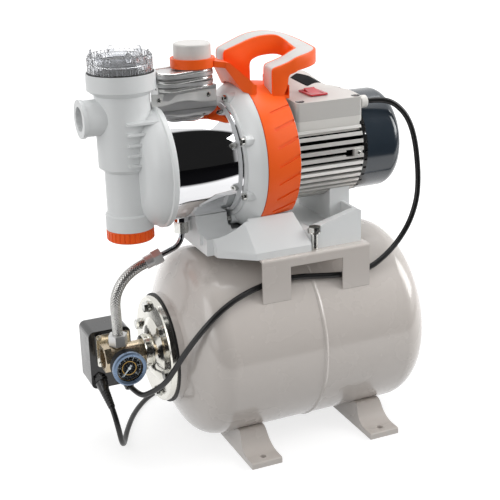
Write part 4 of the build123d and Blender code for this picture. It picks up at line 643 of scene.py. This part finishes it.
def screwGrid(radius, height, recess):
    # a domed head: z = height * (1 - 0.35 q^2 - 0.65 q^8), q = r / radius, sunk by recess inside a cross
    q = np.concatenate([np.linspace(0.02, 0.7, 18), np.linspace(0.74, 1.0, 8)])
    angle = np.linspace(0, 2 * np.pi, 64, endpoint=False)
    q, angle = np.meshgrid(q, angle, indexing="ij")
    x, y = radius * q * np.cos(angle), radius * q * np.sin(angle)
    z = height * (1 - 0.35 * q ** 2 - 0.65 * q ** 8)
    inBars = np.minimum(np.abs(x), np.abs(y)) < screwCross["halfArm"] * radius
    z = z - recess * (inBars & (q < screwCross["reach"]))
    skirt = np.stack([x[-1], y[-1], z[-1] - screwCross["skirt"]], -1)[None]
    return np.concatenate([np.stack([x, y, z], -1), skirt])


for name, (part, head, places) in screws.items():
    cappedPiece(name, [placed(screwGrid(*head), *place) for place in places], part, "bolt_steel",
                screwFinish.get(name))


def slab(name, x, y, top, under, finish, slot):
    # a closed slab between two levels over a plan grid
    upper, lower = np.stack([x, y, top], -1), np.stack([x, y, under], -1)
    cappedPiece(name, [np.concatenate([upper, lower[:, ::-1]], 1) * mm], "terminal_lid", slot, finish)


def makeLid():
    wells = [turned(np.array(lid["well"]) + (lidTop(x, y), 0.0), "z", (x, y, 0), 40)
             for x, y, spin in lid["screws"]]
    ringPiece("lid_screw_wells", wells, "terminal_lid", "inner_plastic")
    across, deep = np.linspace(lid["left"], lid["right"], 61), np.linspace(lid["front"], lid["back"], 33)
    x, y = np.meshgrid(across, deep, indexing="ij")
    slab("lid_raised_back", x, y, lidTop(x, y) + 0.05, lidOwn(y) - 1.0, "lid_plastic", "box_plastic")
    # the plate's corners are blended both ways; its thin edge is rounded:
    # height * (1 - |2u - 1|^40) * (1 - |2v - 1|^28)
    a, b, c, d = np.array(lid["plate"], float)[:, :, None, None]
    u, v = np.meshgrid(np.linspace(0, 1, 33), np.linspace(0, 1, 21), indexing="ij")
    x, y = (1 - u) * (1 - v) * a + u * (1 - v) * b + u * v * c + (1 - u) * v * d
    edge = (1 - np.abs(2 * u - 1) ** 40) * (1 - np.abs(2 * v - 1) ** 28)
    level = lidTop(x, y)
    slab("lid_plate", x, y, level + lid["plateHeight"] * edge, level - 0.6, "dial_black", "inner_plastic")


makeLid()

# Strain relief of the mains lead at the lower gland of the switch.
strainRelief = {"from": (-283.9, 11.9, 93.7), "heading": (0.078, -0.831, -0.551), "length": 30.0,
                "radius": (6.6, 4.5), "ribs": 7, "ribHeight": 0.5, "steps": (85, 40)}


def makeStrainRelief():
    # r falls along its length, with soft ribs: r = first + (last - first) * s + height * |sin(ribs pi s)|,
    # with s from 0 to 1
    p = strainRelief
    first, last = p["radius"]
    along = np.linspace(0, p["length"], p["steps"][0])
    share = along / p["length"]
    radius = first + (last - first) * share + p["ribHeight"] * np.abs(np.sin(share * p["ribs"] * np.pi))
    angle = np.linspace(0, 2 * np.pi, p["steps"][1], endpoint=False)
    grid = np.stack([np.outer(radius, np.cos(angle)), np.outer(radius, np.sin(angle)),
                     np.repeat(along[:, None], len(angle), 1)], -1)
    cappedPiece("mains_strain_relief", [placed(grid, p["from"], p["heading"])], "switch_cover",
                "lead_rubber")


makeStrainRelief()
print("fasteners made")

# Discharge head: the front plate, painted lighter than the cast aluminium of the rest of the head, the
# trimmed CAD head behind it, and rounded wavy fins.
headFace = {"left": -197.6, "right": -104.4, "low": 507.0, "high": 522.5, "front": -16.2, "thick": 0.8,
            "swell": 1.2, "bulge": 2.4, "middle": -152.0, "bulgeHalf": 16.0, "wave": 1.3, "waveLength": 11.0,
            "notch": 1.2, "notchHalf": 20.0, "trimTop": 528.6, "trimHalf": 16.0}


def makeHeadFace():
    # depth = swell * (1 - (2t - 1)^8) + bulge * exp(-((x - middle) / half)^4), from the wavy edge low(x) up
    p = headFace
    x = np.linspace(p["left"], p["right"], 141)[:, None]
    t = np.linspace(0, 1, 25)[None, :]
    away = x - p["middle"]
    notch = p["notch"] * np.exp(-(away / p["notchHalf"]) ** 4)
    low = p["low"] + p["wave"] * np.cos(away / p["waveLength"]) + notch
    z = low + (p["high"] - low) * t
    ends = 1 - (2 * (x - p["left"]) / (p["right"] - p["left"]) - 1) ** 24
    bulge = p["bulge"] * np.exp(-(away / p["bulgeHalf"]) ** 4) * (1 - (2 * t - 1) ** 6)
    depth = p["swell"] * (1 - (2 * t - 1) ** 8) * ends + bulge
    front = np.stack([x + 0 * t, p["front"] - depth, z], -1)
    back = np.stack([np.repeat(x, 2, 1), np.full((len(x), 2), p["front"] + p["thick"]), z[:, [-1, 0]]], -1)
    # the front plate takes the copy of the cast aluminium that is painted brighter
    cappedPiece("head_front_plate", [np.concatenate([front, back], 1) * mm], "discharge_head", "aluminium",
                "plate_aluminium_painted_light", 40)
    top, half = p["trimTop"], p["trimHalf"]
    planes = [((0, 0, top), (0, 0, 1)), ((0, -half, 0), (0, 1, 0)), ((0, half, 0), (0, 1, 0))]
    cutCopy(mergedCopy("discharge_head"), planes,
            lambda x, y, z: (z < top - 0.01) & (np.abs(y) > half + 0.01))


headFins = {"left": -164.0, "right": -134.0, "reach": 29.5, "round": 3.2, "core": 21.0, "half": 2.9,
            "levels": [528.2, 538.4, 548.6], "wave": 1.3, "waveLength": 13.0, "collarX": -233.0,
            "collar": 48.3}


def makeHeadFins():
    # a rounded bar carried round a stadium: r = reach - round (1 - cos), z = level + half sin + a slow wave
    p = headFins
    angle = np.linspace(0, 2 * np.pi, 121)[:-1] + 0.01
    turn = np.linspace(-np.pi / 2, np.pi / 2, 13)
    r = np.concatenate([p["reach"] - p["round"] + p["round"] * np.cos(turn), [p["core"], p["core"]]])
    rise = np.concatenate([p["half"] * np.sin(turn), [p["half"], -p["half"]]])
    radius, along = np.meshgrid(r, angle, indexing="ij")
    x = np.where(np.cos(along) > 0, p["right"], p["left"]) + radius * np.cos(along)
    y = radius * np.sin(along)
    away = np.hypot(x - p["collarX"], y)  # the fins stay outside the collar of the filter housing
    push = np.maximum(away, p["collar"]) / away
    x, y = p["collarX"] + (x - p["collarX"]) * push, y * push
    wave = p["wave"] * np.sin((x - (p["left"] + p["right"]) / 2) / p["waveLength"])
    grids = [np.stack([x, y, level + rise[:, None] + wave], -1) * mm for level in p["levels"]]
    ringPiece("head_fins_rolled", grids, "discharge_head", "aluminium", "polished_aluminium", 50)


makeHeadFace()
makeHeadFins()
print("discharge head dressed")

# Clear filter lid: a fluted cap with a fluted inner ring, its hub, and flat ears to turn it by.
filterLid = {
    "centre": (-233.0, 0, 0), "steps": 320, "flutes": 40, "outerFlute": 0.55, "innerFlute": 0.5,
    "profile": [
        (557.0, 43.5), (573, 43.4), (577.5, 42.6), (579.2, 41.2), (579.2, 39.4), (577, 38.2), (567.5, 37.4),
        (567.5, 31.6), (576, 31.0), (577.6, 29.8), (577.6, 27.8), (575, 26.8), (571.5, 26.0), (571.5, 3.0),
        (569, 3.0), (569, 27.2), (572, 28.2), (574.6, 28.8), (565, 29.6), (565, 38.4), (544.2, 38.4),
        (544.2, 40.9), (556.8, 41.0)],
    "hub": [(568.9, 0.05), (568.9, 3.3), (571.6, 3.3), (571.6, 0.05)],
    "ears": range(30, 390, 60), "earRadius": 38.5, "earTop": 578.6, "earSize": (1.7, 5.2, 6.2)}


def makeFilterLid():
    p = filterLid

    def flutes(along, radius, angle):
        # r - outer (1 - cos(40 a)) on the outer wall, and r + inner cos(40 a) on the inner ring
        outside = p["outerFlute"] * ((radius > 42.4) & (along > 558))
        inside = p["innerFlute"] * ((radius > 26.5) & (radius < 32) & (along > 566))
        return radius + np.cos(p["flutes"] * angle) * (outside + inside) - outside

    skin = turned(soften(p["profile"], 0.8, 2), "z", p["centre"], p["steps"], flutes)
    piece = ringPiece("filter_lid_skin", [skin], "filter_lid", "clear_plastic")
    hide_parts("filter_lid")
    ringPiece("filter_lid_hub", [turned(p["hub"], "z", p["centre"], 24)], "filter_lid", "clear_plastic")
    # each ear is a flat ellipsoid: through the wall, across it and upwards
    u, v = np.meshgrid(np.linspace(0.05, np.pi - 0.05, 16), np.linspace(0, 2 * np.pi, 32, endpoint=False),
                       indexing="ij")
    thick, wide, tall = p["earSize"]
    r, across = p["earRadius"] + thick * np.cos(u), wide * np.sin(u) * np.cos(v)
    up = p["earTop"] + tall * np.sin(u) * np.sin(v)
    ears = []
    for a in np.radians(p["ears"]):
        x = p["centre"][0] + r * math.cos(a) - across * math.sin(a)
        ears.append(np.stack([x, r * math.sin(a) + across * math.cos(a), up], -1) * mm)
    cappedPiece("filter_lid_ears", ears, "filter_lid", "clear_plastic")


makeFilterLid()
print("filter lid made")

hose = {"radius": 7.1, "strands": 12, "pitch": 46.0, "swell": 0.42, "steps": (260, 96),
        "route": [(-262, 0, 176.6), (-262, 0, 206), (-262.9, 0, 238), (-251, 0, 261.5), (-230.5, 0, 277),
                  (-206, 0, 285.4)]}


def makeHose():
    # two families of strands, one each way round, the higher one shows:
    # ridge = |cos(n/2 (angle -+ 2 pi s / pitch))|
    line = smoothRows(hose["route"], 5)
    step = np.linalg.norm(np.diff(line, axis=0), axis=1)
    run = np.concatenate([[0], np.cumsum(step)])
    s = np.linspace(0, run[-1], hose["steps"][0])
    line = np.stack([np.interp(s, run, line[:, k]) for k in range(3)], -1)
    tangent = np.gradient(line, axis=0)
    tangent /= np.linalg.norm(tangent, axis=1, keepdims=True)
    side = np.tile((0.0, 1.0, 0.0), (len(line), 1))
    normal = np.cross(side, tangent)
    ss, aa = np.meshgrid(s, np.linspace(0, 2 * np.pi, hose["steps"][1], endpoint=False), indexing="ij")
    n, k = hose["strands"] / 2, 2 * np.pi / hose["pitch"]
    ridge = np.maximum(np.abs(np.cos(n * (aa - k * ss))), np.abs(np.cos(n * (aa + k * ss)))) ** 2
    r = (hose["radius"] + hose["swell"] * ridge)[..., None]
    around = np.cos(aa)[..., None] * side[:, None] + np.sin(aa)[..., None] * normal[:, None]
    grid = line[:, None] + r * around
    mesh = gridMesh("braided_hose_skin", [grid * mm])
    # share of dark liner and painted shade: 1.3 - 1.45 * ridge held to 0..1, darkest between the strands
    gap_liner_and_shade = mesh.attributes.new("gap_liner_and_shade", "FLOAT", "POINT")
    gap_liner_and_shade.data.foreach_set("value", np.clip(1.3 - 1.45 * ridge, 0, 1).astype(np.float32).ravel())
    piece = addPiece("braided_hose_skin", mesh, "braided_hose", "braid_steel", smooth=60)
    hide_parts("braided_hose")


makeHose()
print("hose made")

# Dial of the gauge, seen along y: ticks are an inner radius and a half width, rings two radii.
dial = {"centre": (-262.0, -46.9, 150.0), "sweep": 270.0, "ticks": 51, "longEvery": 5, "tickOuter": 17.6,
        "longTick": (14.6, 0.32), "shortTick": (16.2, 0.16), "tickDepth": (-0.15, 0.3),
        "numbers": ["0", "2", "4", "6", "8", "10"], "numberRadius": 12.9, "numberSize": 3.1,
        "numberDepth": 0.1,
        "rings": [(9.6, 10.5), (18.3, 18.8)],
        "face": [(0.0, 0.05), (0.0, 20.8), (0.35, 20.8), (0.35, 0.05)],
        "hub": [(-2.0, 0.05), (-2.0, 1.9), (-1.4, 2.5), (-0.2, 2.6), (0.3, 2.6), (0.3, 0.05)]}


def makeTicks():
    # ticks stand at equal angles over the sweep, the fifth ones longer; x = r sin a, z = r cos a on the dial
    p = dial
    a = np.radians(-p["sweep"] / 2 + np.arange(p["ticks"]) * p["sweep"] / (p["ticks"] - 1))
    long = np.arange(p["ticks"])[:, None] % p["longEvery"] == 0
    inner, half = np.where(long, p["longTick"], p["shortTick"]).T
    outer = np.full(len(a), p["tickOuter"])
    flat = np.stack([(r * np.sin(a) + side * half * np.cos(a), r * np.cos(a) - side * half * np.sin(a))
                     for r, side in ((inner, -1), (inner, 1), (outer, 1), (outer, -1))]).transpose(2, 0, 1)
    front, back = (np.insert(flat, 1, depth, axis=-1) for depth in p["tickDepth"])
    points = (np.concatenate([front, back], 1) + np.array(p["centre"])).reshape(-1, 3) * mm
    cube = np.array([(0, 1, 2, 3), (7, 6, 5, 4), (0, 4, 5, 1), (1, 5, 6, 2), (2, 6, 7, 3), (3, 7, 4, 0)])
    faces = (cube[None] + 8 * np.arange(len(a))[:, None, None]).reshape(-1, 4)
    mesh = bpy.data.meshes.new("dial_ticks")
    mesh.from_pydata(points, [], faces.tolist())
    addPiece("dial_ticks", mesh, "gauge_case", "needle_white")


def makeNumber(index, word):
    # plain numbers at equal angles inside the ticks, made a mesh and stood upright
    p = dial
    text = bpy.data.curves.new("number", "FONT")
    text.body = word
    text.size, text.extrude = p["numberSize"] * mm, p["numberDepth"] * mm
    text.align_x = text.align_y = "CENTER"
    holder = newObject("number", text)
    bpy.context.view_layer.update()
    mesh = bpy.data.meshes.new_from_object(holder)
    bpy.data.objects.remove(holder)
    angle = math.radians(-p["sweep"] / 2 + index * p["sweep"] / (len(p["numbers"]) - 1))
    offset = Vector((p["numberRadius"] * math.sin(angle), -0.08, p["numberRadius"] * math.cos(angle)))
    place = (Vector(p["centre"]) + offset) * mm
    mesh.transform(Matrix.Translation(place) @ Matrix.Rotation(math.pi / 2, 4, "X"))
    addPiece(f"dial_number_{index}", mesh, "gauge_case", "needle_white")


def makeDial():
    centre = dial["centre"]
    makeTicks()
    rings = [turned([(-0.16, low), (-0.16, high), (0.3, high), (0.3, low)], "y", centre, 72)
             for low, high in dial["rings"]]
    ringPiece("dial_rings", rings, "gauge_case", "brass", "dial_gold")
    ringPiece("dial_face", [turned(dial["face"], "y", centre, 72)], "gauge_case", "dial_black")
    ringPiece("dial_hub", [turned(dial["hub"], "y", centre, 32)], "gauge_needle", "bolt_steel")
    for index, word in enumerate(dial["numbers"]):
        makeNumber(index, word)


makeDial()
print("dial made")

# Studio, in metres: floor, world and lamps. Only glossy rays see the dark front, where metal mirrors a band.
studio = {"floor": (164, 164, 164), "floorSide": 12.0, "floorLevel": -0.0002,
          "floorDark": (0.006, 0.006, 0.007, 1), "darkFrom": (-0.72, -0.6),
          "glow": (0.76, 1.05), "glowReach": (0.45, 1.1), "worldSoft": 0.56,
          "worldDark": 0.984, "darkFront": (0.2, 0.26), "darkSides": (0.80, 0.70),
          "lamps": {"top_softbox": ((0.1, 0.35, 1.9), (0, 0, 0.35), (1.6, 1.2), 14),
                    "right_softbox": ((1.7, -0.7, 1.2), (0, 0, 0.3), (0.9, 1.3), 22),
                    "left_softbox": ((-1.8, -0.5, 1.1), (0, 0, 0.3), (0.9, 1.3), 7)}}


def makeFloor():
    # a wide plane that keeps the shadow: camera, glossy and transmission rays see it near white, and glossy
    # ones see it dark in front
    side, level = studio["floorSide"], studio["floorLevel"]
    mesh = bpy.data.meshes.new("floor")
    corners = [(-side, -side, level), (side, -side, level), (side, side, level), (-side, side, level)]
    mesh.from_pydata(corners, [], [(0, 1, 2, 3)])
    material = bpy.data.materials.new("floor_white")
    material.use_nodes = True
    tree = material.node_tree
    rays = node(tree, "LightPath").outputs
    place = node(tree, "NewGeometry").outputs["Position"]
    away = node(tree, "VectorMath", {0: place}, operation="LENGTH").outputs["Value"]
    seen = compute(tree, "MAXIMUM", rays["Is Camera Ray"], rays["Is Glossy Ray"])
    seen = compute(tree, "MAXIMUM", seen, rays["Is Transmission Ray"])
    glow = compute(tree, "MULTIPLY", seen, ranged(tree, away, studio["glowReach"], studio["glow"]))
    back = ranged(tree, node(tree, "SeparateXYZ", {"Vector": place}).outputs["Y"], studio["darkFrom"])
    dark = compute(tree, "MULTIPLY", compute(tree, "SUBTRACT", 1.0, back), rays["Is Glossy Ray"])
    shader = tree.nodes["Principled BSDF"].inputs
    shader["Roughness"].default_value = 0.9
    shader["Specular IOR Level"].default_value = 0.0
    shader["Emission Color"].default_value = (1, 1, 1, 1)
    tree.links.new(mixed(tree, dark, tint(*studio["floor"]), studio["floorDark"]), shader["Base Color"])
    strength = compute(tree, "MULTIPLY", glow, compute(tree, "SUBTRACT", 1.0, dark))
    tree.links.new(strength, shader["Emission Strength"])
    mesh.materials.append(material)
    newObject("floor", mesh)


def makeWorld():
    # white to the camera and through glass; to metal, white above and behind, dark towards the front
    world = bpy.data.worlds.new("studio")
    bpy.context.scene.world = world
    world.use_nodes = True
    tree = world.node_tree
    tree.nodes.clear()
    rays = node(tree, "LightPath").outputs
    heading = node(tree, "SeparateXYZ", {"Vector": node(tree, "TexCoord").outputs["Generated"]}).outputs
    front = ranged(tree, compute(tree, "MULTIPLY", heading["Y"], -1.0), studio["darkFront"])
    sides = ranged(tree, compute(tree, "ABSOLUTE", heading["X"]), studio["darkSides"])
    dark = compute(tree, "MULTIPLY", front, sides)
    glossy = compute(tree, "SUBTRACT", 1.0, compute(tree, "MULTIPLY", dark, studio["worldDark"]))
    more = compute(tree, "SUBTRACT", glossy, studio["worldSoft"])
    soft = compute(tree, "ADD", compute(tree, "MULTIPLY", rays["Is Glossy Ray"], more), studio["worldSoft"])
    seen = compute(tree, "MAXIMUM", rays["Is Camera Ray"], rays["Is Transmission Ray"])
    white = compute(tree, "MULTIPLY", seen, compute(tree, "SUBTRACT", 1.0, soft))
    strength = compute(tree, "ADD", white, soft)
    background = node(tree, "Background", {"Color": (1, 1, 1, 1), "Strength": strength})
    node(tree, "OutputWorld", {"Surface": background.outputs["Background"]})


def addLamp(name, place, target, size, power):
    lamp = bpy.data.lights.new(name, "AREA")
    lamp.shape = "RECTANGLE"
    lamp.size, lamp.size_y = size
    lamp.energy = power
    holder = newObject(name, lamp)
    holder.rotation_euler = (Vector(target) - Vector(place)).to_track_quat("-Z", "Y").to_euler()
    holder.location = place


makeFloor()
makeWorld()
for name, lamp in studio["lamps"].items():
    addLamp(name, *lamp)
bpy.context.scene.view_settings.view_transform = "Standard"
print("studio set")
